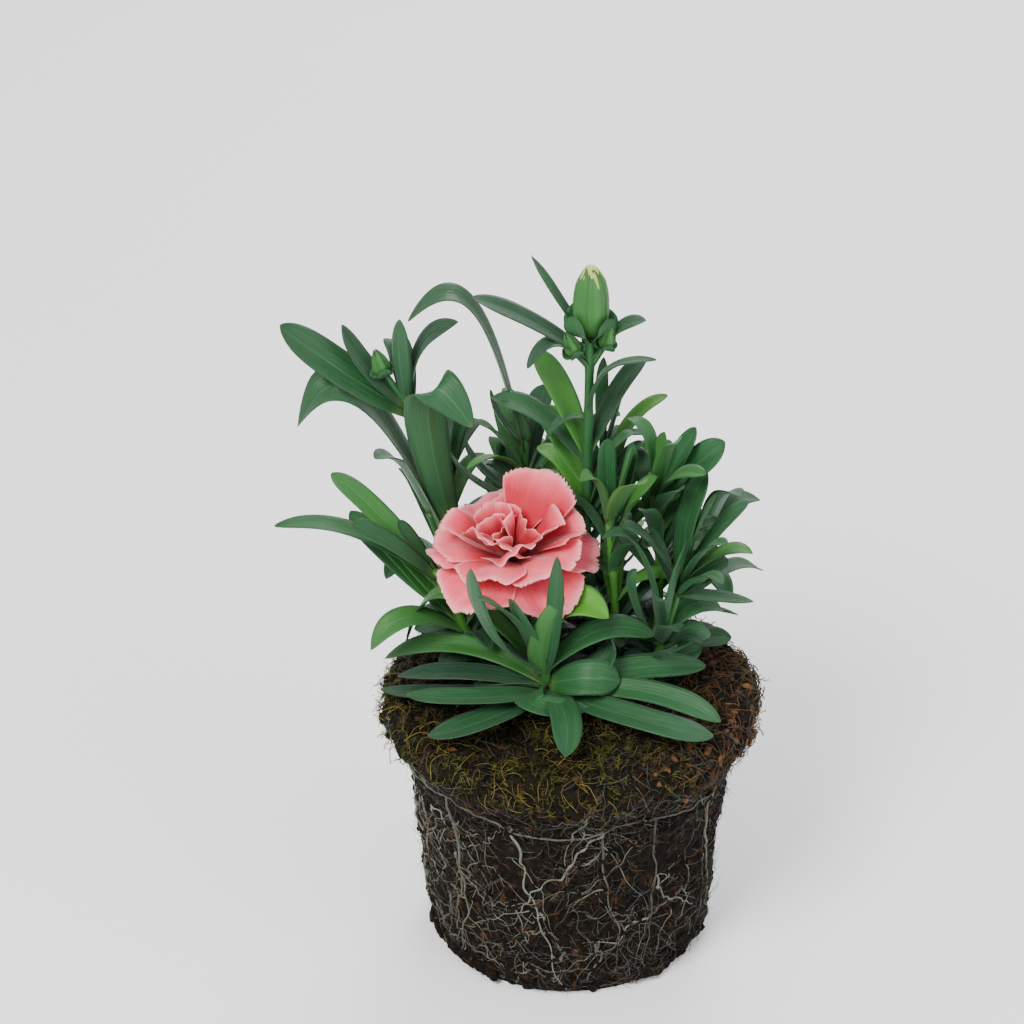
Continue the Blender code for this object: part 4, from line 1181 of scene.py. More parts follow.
@dataclass
class Bloom:
    """The open double bloom: layers of waved petals with toothed rims."""

    place: Vector = field(default_factory=lambda: Vector((-18.3, 2.0, 132.5)))
    nod: float = 10.0
    columns: int = 72
    rows: int = 22
    thickness: float = 0.34
    teeth: float = 10.5
    tooth: float = 0.020
    small_tooth: float = 0.012
    ruffle: float = 0.8
    ruffles: float = 11.0
    fold: float = 4.2
    cup: float = 0.08
    corner: float = 0.27
    fine_teeth: float = 2.37
    root_ring: float = 1.2
    root_height: float = -1.0
    tip_height: float = 2.5
    crest_height: float = 4.5
    crest_out: float = 0.45
    crest_rise: float = 0.62
    heart: tuple[tuple[float, float], ...] = (
        (0.2, 3.4),
        (1.8, 3.2),
        (3.0, 1.5),
        (3.2, -1.0),
        (2.6, -3.0),
        (0.2, -3.1),
    )

    def frame(self) -> Matrix:
        """Where the bloom sits and how far it nods to the front."""
        return Matrix.Translation(self.place) @ Matrix.Rotation(math.radians(self.nod), 4, "X")

    def petals(self) -> list[Petal]:
        """Every petal, layer by layer."""
        chance = random.Random(5)
        petals = [Petal(*STANDING_PETAL)]
        for layer, (count, tilt, reach, width, curl, wave) in enumerate(BLOOM_LAYERS):
            inner = layer > 1
            for i in range(count):
                petals.append(
                    Petal(
                        heading=360 * i / count + 26 * layer + chance.uniform(-9, 9),
                        tilt=tilt + chance.uniform(-5, 5),
                        reach=reach * chance.uniform(0.93, 1.0),
                        width=width * chance.uniform(0.9, 1.05),
                        curl=curl + chance.uniform(-1, 1),
                        wave=wave,
                        phase=chance.uniform(0, 360),
                        twist=chance.uniform(-4, 12),
                        shift=BLOOM_MIDDLES[i % 2] if inner else (0.0, 0.0),
                    )
                )
        return petals

    def add_petal(self, shape: Shape, petal: Petal, tone: float, chance: random.Random) -> None:
        """Add one petal to a shape."""
        spot = self.frame()
        out = heading_vector(petal.heading)
        left = Vector((-out.y, out.x, 0.0))
        tilt = math.radians(petal.tilt)
        middle = Vector((*petal.shift, 0.0))
        root = out * self.root_ring + Vector((0, 0, self.root_height))
        tip = middle + out * petal.reach * math.cos(tilt)
        tip.z = self.tip_height + petal.reach * math.sin(tilt) - petal.curl
        crest = middle * 0.8 + out * petal.reach * self.crest_out * math.cos(tilt)
        crest.z = self.crest_height + petal.reach * self.crest_rise * math.sin(tilt)
        twist = math.radians(petal.twist)
        shift = chance.uniform(0, 1)
        ruffled = chance.uniform(0, math.tau)
        rings, across_rows, along_rows, under_rows, rim_rows = [], [], [], [], []
        for row in range(self.rows + 1):
            v = row / self.rows
            ring, sides, runs, unders, rims = [], [], [], [], []
            for i in range(2 * self.columns):
                face = 1 if i <= self.columns else -1
                share = (i if face > 0 else 2 * self.columns - i) / self.columns * 2 - 1
                saw = abs((share * self.teeth + shift) % 1.0 * 2 - 1) * 2 - 1
                fine = abs((share * self.teeth * self.fine_teeth + 0.4) % 1.0 * 2 - 1) * 2 - 1
                cut = (self.tooth * saw + self.small_tooth * fine) * v**5
                reached = v * (1 - self.corner * share**2 + cut)
                rest = 1 - reached
                centre = rest**2 * root + 2 * reached * rest * crest + reached**2 * tip
                run = (rest * (crest - root) + reached * (tip - crest)).normalized()
                across = left * math.cos(twist) + Vector((0, 0, math.sin(twist)))
                across = (across - run * across.dot(run)).normalized()
                up = run.cross(across)
                spread = 0.13 + 0.87 * math.sin(min(1.0, reached / 0.85) * math.pi / 2) ** 1.4
                half = max(0.2, petal.width / 2 * spread * min(1.0, 8 * v + 0.15))
                swing = math.radians(petal.phase) + share * self.fold
                height = petal.wave * reached**1.5 * math.sin(swing)
                height += self.ruffle * reached**4 * math.sin(share * self.ruffles + ruffled)
                height += self.cup * petal.width * share**2 * reached
                thin = min(1.0, 5 * (1 - abs(share)) + 0.2) * min(1.0, 6 * (1 - v) + 0.3)
                height += face * self.thickness / 2 * thin
                ring.append(spot @ (centre + across * half * share + up * height))
                sides.append(share)
                runs.append(reached)
                unders.append(0.0 if face > 0 else 1.0)
                rims.append(max(0.0, (v - 0.90) / 0.10, (abs(share) - 0.93) / 0.07 * min(1.0, 1.4 * v)))
            rings.append(ring)
            across_rows.append(sides)
            along_rows.append(runs)
            under_rows.append(unders)
            rim_rows.append(rims)
        paints = {"across": across_rows, "along": along_rows, "under": under_rows, "rim": rim_rows}
        inner = 1.0 if any(petal.shift) else 0.0
        shape.loft(rings, **paints, tone=tone, inner=inner)

    def build(self, finish: bpy.types.Material) -> BVHTree:
        """Make the bloom's petals as one piece.

        Args:
            finish: The petals' material.

        Returns:
            A search tree of the finished petals.
        """
        chance = random.Random(41)
        shape = Shape()
        spot = self.frame()
        heart = []
        for radius, height in reversed(self.heart):
            turns = [math.tau * k / 20 for k in range(20)]
            flat = [Vector((radius * math.cos(a), radius * math.sin(a), height)) for a in turns]
            heart.append([spot @ place for place in flat])
        shape.loft(heart, across=0.0, along=0.3, under=0.0, rim=0.0, tone=0.5, inner=1.0)
        for petal in self.petals():
            self.add_petal(shape, petal, chance.uniform(0, 1), chance)
        mesh = shape.mesh("petals")
        dress(mesh, "bloom_petal_layers", Slot.PETALS, finish, "bloom_petals")
        return search_tree(mesh)


@dataclass
class TurnedCup:
    """A ribbed green cup, such as a calyx or a bud's tube, in a frame of its own."""

    frame: Matrix
    outline: tuple[tuple[float, float], ...]
    sides: int = 40
    ribs: int = 10
    rib_height: float = 0.10

    def add(self, shape: Shape, tone: float) -> None:
        """Add the cup to a shape, from its foot up."""
        line = smooth_path([Vector((r, 0, z)) for r, z in self.outline], 5)
        rings, shares, sides = [], [], []
        for i, point in enumerate(line):
            ring = []
            for k in range(self.sides):
                angle = math.tau * k / self.sides
                radius = max(0.05, point.x * (1 + self.rib_height * 0.35 * math.cos(angle * self.ribs)))
                place = Vector((radius * math.cos(angle), radius * math.sin(angle), point.z))
                ring.append(self.frame @ place)
            rings.append(ring)
            shares.append([0.15 + 0.6 * i / len(line)] * self.sides)
            sides.append([math.cos(math.tau * k / self.sides) * 0.8 for k in range(self.sides)])
        shape.loft(rings, along=shares, across=sides, under=0.0, tone=tone)


BRACT_CUT = LeafCut(columns=6, rows=14, thickness=0.4, channel=-0.16, rib=0.1, wave=0.0, groove=0.0)


def add_bract(shape: Shape, spot: Matrix, foot: Vector, leaf: Leaf, chance: random.Random) -> None:
    """Add one bract at the foot of a bud or a calyx.

    Args:
        shape: The shape that the bract joins.
        spot: The frame that it is drawn in.
        foot: Where it starts, in that frame.
        leaf: Its blade, in that frame.
        chance: The source of its small differences.
    """
    own = Shape()
    BRACT_CUT.add(own, leaf, foot, chance.uniform(0.35, 0.55), chance)
    first = len(shape.places)
    shape.places.extend(spot @ place for place in own.places)
    shape.faces.extend(tuple(first + index for index in face) for face in own.faces)
    for name, values in own.paints.items():
        shape.paints.setdefault(name, [0.0] * first).extend(values)


@dataclass
class Bud:
    """A closed bud: five green lobes that meet in shallow seams, folded tips, and bracts at its foot."""

    place: Vector
    radius: float
    height: float
    lean: float
    heading: float
    bracts: int
    lobes: int = 5
    seam: float = 0.07
    crown: float = 0.88
    point: float = 0.09
    sides: int = 80
    rows: int = 22
    profile: tuple[tuple[float, float], ...] = (
        (0.34, -0.04),
        (0.66, 0.05),
        (0.90, 0.18),
        (1.00, 0.36),
        (0.98, 0.56),
        (0.84, 0.74),
        (0.50, 0.90),
        (0.22, 1.00),
    )

    def frame(self) -> Matrix:
        """The bud's frame: its foot at its place, its axis leaning."""
        axis = heading_vector(self.heading + 90)
        return Matrix.Translation(self.place) @ Matrix.Rotation(math.radians(self.lean), 4, axis)

    def radius_at(self, share: float) -> float:
        """The bud's radius at a share of its height."""
        line = smooth_path([Vector((r, 0, z)) for r, z in self.profile], 6)
        for low, high in zip(line, line[1:]):
            if share <= high.z:
                return self.radius * low.lerp(high, (share - low.z) / (high.z - low.z)).x
        return self.radius * line[-1].x

    def ring(self, share: float, inward: float, drop: float) -> list[Vector]:
        """One ring of the lobes: each ends in a point, and a seam lies between two of them."""
        ring = []
        for k in range(self.sides):
            angle = math.tau * k / self.sides
            lobe = abs(math.cos(angle * self.lobes / 2))
            height = share * (self.crown + self.point * lobe**0.8)
            swell = 1 - self.seam * (1 - lobe) ** 3 * min(1.0, 2.5 * share)
            radius = self.radius_at(height) * swell * inward
            top = height * self.height - drop
            ring.append(Vector((radius * math.cos(angle), radius * math.sin(angle), top)))
        return ring

    def add(self, shape: Shape, tips: Shape | None) -> None:
        """Add the green parts to one shape and the folded tips to another."""
        chance = random.Random(round(self.place.x * 10))
        spot = self.frame()
        rings = [self.ring(row / self.rows, 1.0, 0.0) for row in range(self.rows + 1)]
        rings += [self.ring(1.0, 0.9, 0.12), self.ring(1.0, 0.8, 0.9), self.ring(1.0, 0.5, 2.0)]
        shares, sides = [], []
        for row in range(len(rings)):
            shares.append([0.2 + 0.75 * min(1.0, row / self.rows)] * self.sides)
            turns = [math.pi * self.lobes * k / self.sides for k in range(self.sides)]
            sides.append([math.copysign(1 - abs(math.cos(a)), math.sin(2 * a)) * 0.97 for a in turns])
        placed = [[spot @ place for place in ring] for ring in rings]
        shape.loft(placed, along=shares, across=sides, under=0.0, tone=0.62)
        for i in range(self.bracts):
            heading = 360 * i / self.bracts + 45
            foot = heading_vector(heading) * 0.3 * self.radius + Vector((0, 0, -0.8))
            rise = self.height * chance.uniform(0.34, 0.44)
            crest = (1.25 * self.radius, 0, self.height * 0.08)
            leaf = Leaf(0, heading, 0.95 * self.radius, rise, crest, self.radius * 1.35)
            add_bract(shape, spot, foot, leaf, chance)
        if tips is not None:
            self.add_tips(tips, spot)

    def add_tips(self, tips: Shape, spot: Matrix) -> None:
        """Add the rolled petals that peep out of the bud's mouth."""
        outline = ((0.50, 0.62), (0.74, 0.72), (0.60, 0.84), (0.40, 0.93), (0.20, 0.985), (0.03, 1.0))
        line = smooth_path([Vector((x, 0, z)) for x, z in outline], 5)
        rings, shares = [], []
        for i, point in enumerate(line):
            share = i / (len(line) - 1)
            ring = []
            for k in range(self.sides):
                angle = math.tau * k / self.sides
                fold = 1 + 0.10 * math.sin(5 * angle + 4 * share) + 0.05 * math.sin(11 * angle + 2 * share)
                radius = point.x * fold * self.radius
                flat = Vector((radius * math.cos(angle), radius * math.sin(angle), point.z * self.height))
                ring.append(spot @ flat)
            rings.append(ring)
            shares.append([share] * self.sides)
        tips.loft(rings, along=shares)


@dataclass
class BudCluster:
    """The buds on the tall shoots, with their short stalks."""

    main: Bud = field(default_factory=lambda: Bud(Vector((5.5, 20.0, 200.0)), 5.6, 23.5, 0, 0, 4))
    fork: Vector = field(default_factory=lambda: Vector((5.4, 20.0, 189.0)))
    left_fork: Vector = field(default_factory=lambda: Vector((-50.5, 22.1, 176.0)))
    pointed: tuple[tuple[float, float], ...] = (
        (0.34, -0.04),
        (0.72, 0.06),
        (0.98, 0.22),
        (1.00, 0.40),
        (0.80, 0.62),
        (0.48, 0.82),
        (0.20, 0.95),
        (0.06, 1.00),
    )

    def side_buds(self) -> tuple[tuple[str, Vector, Bud], ...]:
        """The small pointed buds: the shoot that bears each, the fork of its stalk, and the bud."""
        small = {"bracts": 3, "profile": self.pointed, "sides": 40}
        small.update({"seam": 0.2, "crown": 0.7, "point": 0.29})
        near = Bud(Vector((1.0, 18.5, 194.5)), 2.7, 8.5, 22, 190, **small)
        far = Bud(Vector((9.8, 18.5, 197.0)), 2.7, 8.5, 14, -10, **small)
        left = Bud(Vector((-57.5, 22.5, 186.0)), 2.8, 9.0, 18, 180, **small)
        return (
            ("shoot_bud", self.fork, near),
            ("shoot_bud", self.fork, far),
            ("shoot_tall_left", self.left_fork, left),
        )

    def stalk(self, shape: Shape, start: Vector, end: Vector, radius: float) -> None:
        """Add a short stalk."""
        path = [start.lerp(end, i / 5) for i in range(6)]
        shape.tube(path, [radius] * 6, 12, along=0.4, across=0.5, under=0.0, tone=0.5)

    def add(self, name: str, shape: Shape, tips: Shape) -> None:
        """Add the buds that a shoot bears."""
        if name == "shoot_bud":
            self.main.add(shape, tips)
        for bearer, fork, bud in self.side_buds():
            if bearer == name:
                self.stalk(shape, fork, bud.place + Vector((0, 0, 0.5)), 0.95)
                bud.add(shape, None)


@dataclass
class BloomStem:
    """The bloom's own stem with the green calyx that holds the petals."""

    bloom: Bloom
    cup: tuple[tuple[float, float], ...] = (
        (1.7, -22.4),
        (3.4, -19.5),
        (4.6, -14.0),
        (5.0, -8.0),
        (4.9, -2.6),
        (4.5, -1.1),
        (3.6, -1.3),
        (2.6, -3.6),
    )
    bracts: int = 4
    bract_ring: float = 1.6
    bract_level: float = -21.8
    bract: Leaf = Leaf(0, 0, 3.1, 7.5, (3.9, 0, 1.6), 6.0)

    def build(self, finish: bpy.types.Material) -> None:
        """Make the stem and calyx as one piece."""
        shape = Shape()
        spot = self.bloom.frame()
        top = spot @ Vector((0, 0, -22.0))
        stem = Shoot(((-15, 8, 88), (-16, 7, 98), tuple(top)), (), 1.7)
        LeafyShoot("bloom_stem", stem, 0.4).add_stem(shape)
        TurnedCup(spot, self.cup).add(shape, 0.5)
        chance = random.Random(3)
        for i in range(self.bracts):
            heading = 360 // self.bracts * i + 30
            foot = heading_vector(heading) * self.bract_ring + Vector((0, 0, self.bract_level))
            add_bract(shape, spot, foot, replace(self.bract, heading=heading), chance)
        dress(shape.mesh("bloom_stem_fine"), "bloom_stem_and_calyx", Slot.LEAVES, finish, "bloom_stem")


@dataclass
class RootBall:
    """The peat, pressed into the shape of the pot that it came out of."""

    height: float = BALL_HEIGHT
    profile: tuple[tuple[float, float], ...] = (
        (57.5, 86.5),
        (59.0, 84.0),
        (58.5, 79.0),
        (55.0, 73.0),
        (52.0, 68.0),
        (50.5, 61.0),
        (49.3, 50.0),
        (48.3, 40.0),
        (47.5, 30.0),
        (46.8, 20.0),
        (46.0, 10.0),
        (44.8, 3.0),
        (43.0, 0.0),
    )
    relief: float = 1.3
    sides: int = 400
    top_rings: int = 46
    span_steps: int = 8
    foot_rings: int = 6

    def outline(self) -> list[tuple[float, float]]:
        """Radius and height from the middle of the top to the middle of the underside."""
        rim = self.profile[0][0]
        top = []
        for i in range(self.top_rings):
            radius = 0.3 + rim * i / self.top_rings
            top.append((radius, self.height + 0.8 * math.cos(math.pi * radius / rim)))
        line = smooth_path([Vector((r, 0, z)) for r, z in self.profile], self.span_steps)
        side = [(point.x, point.z) for point in line]
        edge = self.profile[-1][0]
        foot = [(edge * (1 - (i + 1) / (self.foot_rings + 0.2)), 0.0) for i in range(self.foot_rings)]
        return top + side + foot

    def crumbs(self, place: Vector) -> float:
        """How far the finer crumbs stand out at a place."""
        lumps = noise.noise(place * 0.33 + Vector((3, 1, 8)))
        grains = noise.noise(place * 0.85 + Vector((1, 9, 4)))
        pits = 1 - abs(noise.noise(place * 0.21 + Vector((5, 5, 2)))) * 2
        return 1.05 * lumps + 0.75 * grains - 0.9 * max(0.0, pits) ** 6

    def skin(self, radius: float, height: float, angle: float) -> Vector:
        """The point of the peat's surface that a point of the outline moves to."""
        flat = Vector((radius * math.cos(angle), radius * math.sin(angle), 0.0))
        place = Vector((flat.x, flat.y, height))
        if height < 0.5:
            return Vector((flat.x, flat.y, 0.0))
        swell = noise.noise(place * 0.055)
        coarse = self.relief * (1.1 * swell + 0.7 * noise.noise(place * 0.16 + Vector((7, 3, 1))))
        fine = self.crumbs(place)
        on_top = clamped((height - 85.2) / 1.8)
        foot = min(1.0, height / 4.0)
        place += flat.normalized() * (coarse + fine * foot) * (1 - on_top)
        place.z += (coarse * 0.7 + fine) * on_top
        return place

    def shape(self) -> Shape:
        """The whole surface, with how much moss, fibre and crumb each place carries."""
        made = Shape()
        rings, moss, fibres, bark, clods = [], [], [], [], []
        for radius, height in self.outline():
            ring = [self.skin(radius, height, -math.tau * k / self.sides) for k in range(self.sides)]
            rings.append(ring)
            moss.append([self.moss_share(place) for place in ring])
            fibres.append([self.fibre_share(place) for place in ring])
            bark.append([self.bark_share(place) for place in ring])
            clods.append([self.clod_share(place) for place in ring])
        made.loft(rings, moss=moss, fibre=fibres, bark=bark, clod=clods)
        return made

    def moss_share(self, place: Vector) -> float:
        """How thickly moss grows at a place: on the top and over its front edge."""
        patch = noise.noise(place * 0.07 + Vector((2, 7, 4)))
        front = 0.75 - 0.35 * min(1.0, max(-1.0, place.y / 45))
        right = clamped((place.x - 26.0) / 16.0)
        level = clamped((place.z - 75.5) / 9.0)
        return clamped(level * front * (1 - 0.8 * right) * (0.85 + 1.3 * patch))

    def fibre_share(self, place: Vector) -> float:
        """How thickly fine fibres lie at a place: all over the side, and thickest on the plant's right."""
        if place.z < 2.0:
            return 0.0
        patch = noise.noise(place * 0.05 + Vector((9, 2, 6)))
        right = 0.15 * place.x / 50
        return max(0.1, min(1.0, 0.55 + right + 0.9 * patch))

    def clod_share(self, place: Vector) -> float:
        """How thickly loose clods cling to a place: round the foot, most of all at the front left."""
        level = clamped((8.0 - place.z) / 4.0) if place.z > 0.4 else 0.0
        patch = noise.noise(place * 0.08 + Vector((4, 1, 1)))
        return clamped(level * (0.35 - 0.006 * (place.x + place.y) + 0.9 * patch))

    def bark_share(self, place: Vector) -> float:
        """How thickly brown bark and old fibres lie at a place: on the rim, most of all at its right."""
        out = math.hypot(place.x, place.y)
        level = clamped((place.z - 72.0) / 8.0) * clamped((out - 34.0) / 12.0)
        right = clamped((place.x - 22.0) / 20.0)
        return clamped(level * (0.03 + 0.8 * right + 0.35 * noise.noise(place * 0.09)))


@dataclass
class Roots:
    """The roots that run over the outside of the ball: a ring, runners, branches and fine rootlets."""

    peat: BVHTree
    radius: float = 0.47
    ring_points: int = 36
    runners: int = 13
    branches: int = 15
    risers: int = 6
    rootlets: int = 330
    spread: float = 0.7
    tangle: float = 205.0
    thick: int = 14
    sway: float = 2.6
    ring_sway: float = 0.5
    ring_height: float = 66.0
    ring_wave: float = 2.0
    lowest: float = 2.6

    def paths(self) -> list[tuple[RootRun, float]]:
        """Heading and height of each main root's points, with its share of the full radius."""
        chance = random.Random(23)
        ring = []
        for i in range(self.ring_points):
            level = self.ring_height + self.ring_wave * math.sin(i * 0.9) + chance.uniform(-0.7, 0.7)
            ring.append((360 * i / self.ring_points, level))
        roots = [(ring + ring[:1], 0.74)]
        for i in range(self.runners):
            at = ring[round(i * self.ring_points / self.runners)]
            heading, height = at
            run = [at]
            drift = chance.uniform(-1.2, 1.2)
            floor = chance.uniform(3.5, 16)
            while height > floor:
                drift = max(-3.0, min(3.0, drift + chance.uniform(-1.8, 1.8)))
                heading += drift
                height -= chance.uniform(7.0, 9.5)
                run.append((heading, max(height, self.lowest)))
            roots.append((run, chance.uniform(0.8, 1.15)))
        mains = [run for run, _ in roots[1:]]
        for i in range(self.branches):
            parent = mains[i % len(mains)]
            heading, height = parent[chance.randrange(1, max(2, len(parent) - 1))]
            turn = chance.choice((-1, 1))
            run = [(heading, height)]
            for _ in range(chance.randrange(2, 5)):
                heading += turn * chance.uniform(5.0, 8.5)
                height = max(self.lowest, min(82.0, height + chance.uniform(-7.0, 2.0)))
                run.append((heading, height))
            roots.append((run, chance.uniform(0.55, 0.8)))
        for i in range(self.risers):
            heading, height = ring[round((i + 0.5) * self.ring_points / self.risers)]
            run = [(heading, height)]
            for _ in range(3):
                heading += chance.uniform(-5, 5)
                height += chance.uniform(3.5, 5.5)
                run.append((heading, min(height, 80.0)))
            roots.append((run, 0.75))
        return roots

    def fine_paths(self) -> list[tuple[RootRun, float]]:
        """The thin rootlets: short wandering runs that leave the main roots and cross one another."""
        chance = random.Random(61)
        mains = [run for run, _ in self.paths()]
        roots = []
        for i in range(self.rootlets):
            if i % 4 == 0:
                heading, height = chance.gauss(self.tangle, 24), chance.uniform(14, 62)
            elif i % 4 == 1:
                heading, height = chance.uniform(0, 360), chance.uniform(12, 82)
            else:
                heading, height = chance.choice(chance.choice(mains))
            aim = chance.choice((-1, 1)) * chance.uniform(0.2, 3.2)
            fall = chance.uniform(-4.2, 1.0)
            run = [(heading, height)]
            for _ in range(chance.randrange(4, 13)):
                aim += chance.uniform(-1.5, 1.5)
                fall = max(-5.0, min(2.0, fall + chance.uniform(-1.3, 1.1)))
                heading += aim
                height = max(2.0, min(85.0, height + fall))
                run.append((heading, height))
            share = chance.uniform(0.5, 0.95) if i % self.thick == 0 else chance.uniform(0.2, 0.5)
            roots.append((run, share))
        return roots

    def on_peat(self, heading: float, height: float, off: float) -> Vector:
        """A point at a heading and a height, a little off the peat."""
        out = heading_vector(heading)
        place = self.peat.ray_cast((out * 90 + Vector((0, 0, height))) * MM, -out)[0] / MM
        return place + out * off

    def add(self, shape: Shape, run: RootRun, share: float, chance: random.Random) -> None:
        """Add one root with its knots and bends to a shape."""
        radius = self.radius * share
        steps = 6 if share > 0.5 else 4
        ring = run[0] == run[-1]
        line = smooth_path([Vector((*place, 0)) for place in self.unwrapped(run)], steps)
        wander = chance.uniform(0, 50)
        calm = self.ring_sway if ring else self.sway
        path, radii = [], []
        for i, point in enumerate(line):
            sway = noise.noise(Vector((i * 0.17, wander, 0.0))) * calm
            bend = noise.noise(Vector((i * 0.19, wander, 21.0))) * calm
            dip = noise.noise(Vector((i * 0.22, wander, 7.0)))
            height = max(1.2, point.y + bend)
            path.append(self.on_peat(point.x + sway, height, radius * (0.5 + 0.6 * dip) + 0.1))
            taper = 1.0 if ring else 1 - 0.62 * (i / len(line)) ** 1.3
            knots = 1 + self.spread * noise.noise(Vector((i * 0.45, wander, 3.0)))
            radii.append(max(0.09, radius * taper * knots))
        inner = [(a + 2 * b + c) / 4 for a, b, c in zip(path, path[1:], path[2:])]
        tone = chance.uniform(0.05, 1.0)
        shape.tube([path[0], *inner, path[-1]], radii, 7 if share > 0.5 else 5, tone=tone)

    def unwrapped(self, run: RootRun) -> RootRun:
        """The run with its headings going on past a full turn."""
        path = [run[0]]
        for heading, height in run[1:]:
            while heading < path[-1][0] - 180:
                heading += 360
            path.append((heading, height))
        return path

    def build(self, finish: bpy.types.Material) -> None:
        """Make the main roots and the rootlets, each as one piece."""
        chance = random.Random(77)
        for name, roots in (("main_roots", self.paths()), ("rootlets", self.fine_paths())):
            shape = Shape()
            for run, share in roots:
                self.add(shape, run, share, chance)
            dress(shape.mesh(name + "_mesh"), name, Slot.ROOTS, finish, "root_net")


@dataclass
class Sprigs:
    """Small variants of what covers the peat, drawn in millimetres with Z away from its surface."""

    seed: int

    def kept(self, name: str, shapes: list[Shape]) -> bpy.types.Collection:
        """The shapes as objects of a new collection."""
        group = bpy.data.collections.new(name)
        bpy.context.scene.collection.children.link(group)
        for index, shape in enumerate(shapes):
            piece = bpy.data.objects.new(f"{name}_{index}", shape.mesh(f"{name}_{index}"))
            group.objects.link(piece)
        return group

    def fibres(
        self, name: str, length: float, radius: float, rise: float, segments: int = 9
    ) -> bpy.types.Collection:
        """Squiggly fibres that lie along the surface and lift a little."""
        chance = random.Random(self.seed)
        shapes = []
        for _ in range(6):
            place, angle, bend = Vector((-length / 2, 0, 0)), 0.0, chance.uniform(-0.12, 0.12)
            path = []
            for i in range(segments + 1):
                hump = rise * math.sin(math.pi * i / segments) - 0.25
                path.append(place + Vector((0, 0, hump)))
                bend = bend * 0.6 + chance.uniform(-0.28, 0.28)
                angle += bend
                place = place + Vector((math.cos(angle), math.sin(angle), 0)) * length / segments
            shape = Shape()
            radii = [radius * (1 - 0.5 * i / segments) for i in range(segments + 1)]
            shape.tube(path, radii, 3)
            shapes.append(shape)
        return self.kept(name, shapes)

    def hairs(self, name: str, length: float, radius: float) -> bpy.types.Collection:
        """Fine hairs that stand away from the surface and curl over."""
        chance = random.Random(self.seed)
        shapes = []
        for _ in range(5):
            lean, swing = chance.uniform(0.5, 1.3), chance.uniform(-0.7, 0.7)
            path = []
            for i in range(7):
                t = i / 6
                side = Vector((lean * t * (0.6 + t), swing * t * t, 0)) * length * 0.6
                path.append(side + Vector((0, 0, length * 0.55 * math.sin(t * 2.3) - 0.3)))
            shape = Shape()
            shape.tube(path, [radius * (1 - 0.75 * i / 6) for i in range(7)], 3)
            shapes.append(shape)
        return self.kept(name, shapes)

    def moss(self, name: str, length: float) -> bpy.types.Collection:
        """Moss strands: a thin stalk set with small pointed leaflets."""
        chance = random.Random(self.seed)
        shapes = []
        for _ in range(5):
            lean, turn = chance.uniform(0.5, 1.4), chance.uniform(0, math.tau)
            path = []
            for i in range(6):
                t = i / 5
                sway = 0.15 * length * math.sin(3 * t + turn)
                rise = length * (0.75 * t - 0.3 * t * t) - 0.2
                path.append(Vector((lean * t * length * 0.7, sway, rise)))
            shape = Shape()
            shape.tube(path, [0.10, 0.10, 0.09, 0.08, 0.07, 0.03], 3)
            for i in range(7):
                at = path[min(5, 1 + i * 2 // 3)]
                angle = turn + i * 2.4
                tip = at + Vector((0.9 + math.cos(angle), 1.2 * math.sin(angle), 0.6)) * (1.1 - 0.07 * i)
                middle = at.lerp(tip, 0.45)
                shape.tube([at, middle, tip], [0.05, 0.10, 0.02], 3)
            shapes.append(shape)
        return self.kept(name, shapes)

    def lumps(self, name: str, size: float) -> bpy.types.Collection:
        """Uneven crumbs of peat and bark."""
        chance = random.Random(self.seed)
        shapes = []
        for _ in range(6):
            flat, long = chance.uniform(0.45, 0.9), chance.uniform(1.0, 1.9)
            rings = []
            for row in range(5):
                polar = math.pi * (row + 0.35) / 4.7
                ring = []
                for k in range(6):
                    angle = math.tau * k / 6
                    radius = size * chance.uniform(0.75, 1.15)
                    x = radius * long * math.sin(polar) * math.cos(angle)
                    y = radius * math.sin(polar) * math.sin(angle)
                    ring.append(Vector((x, y, -radius * flat * math.cos(polar))))
                rings.append(ring)
            shape = Shape()
            shape.loft(rings)
            shapes.append(shape)
        return self.kept(name, shapes)


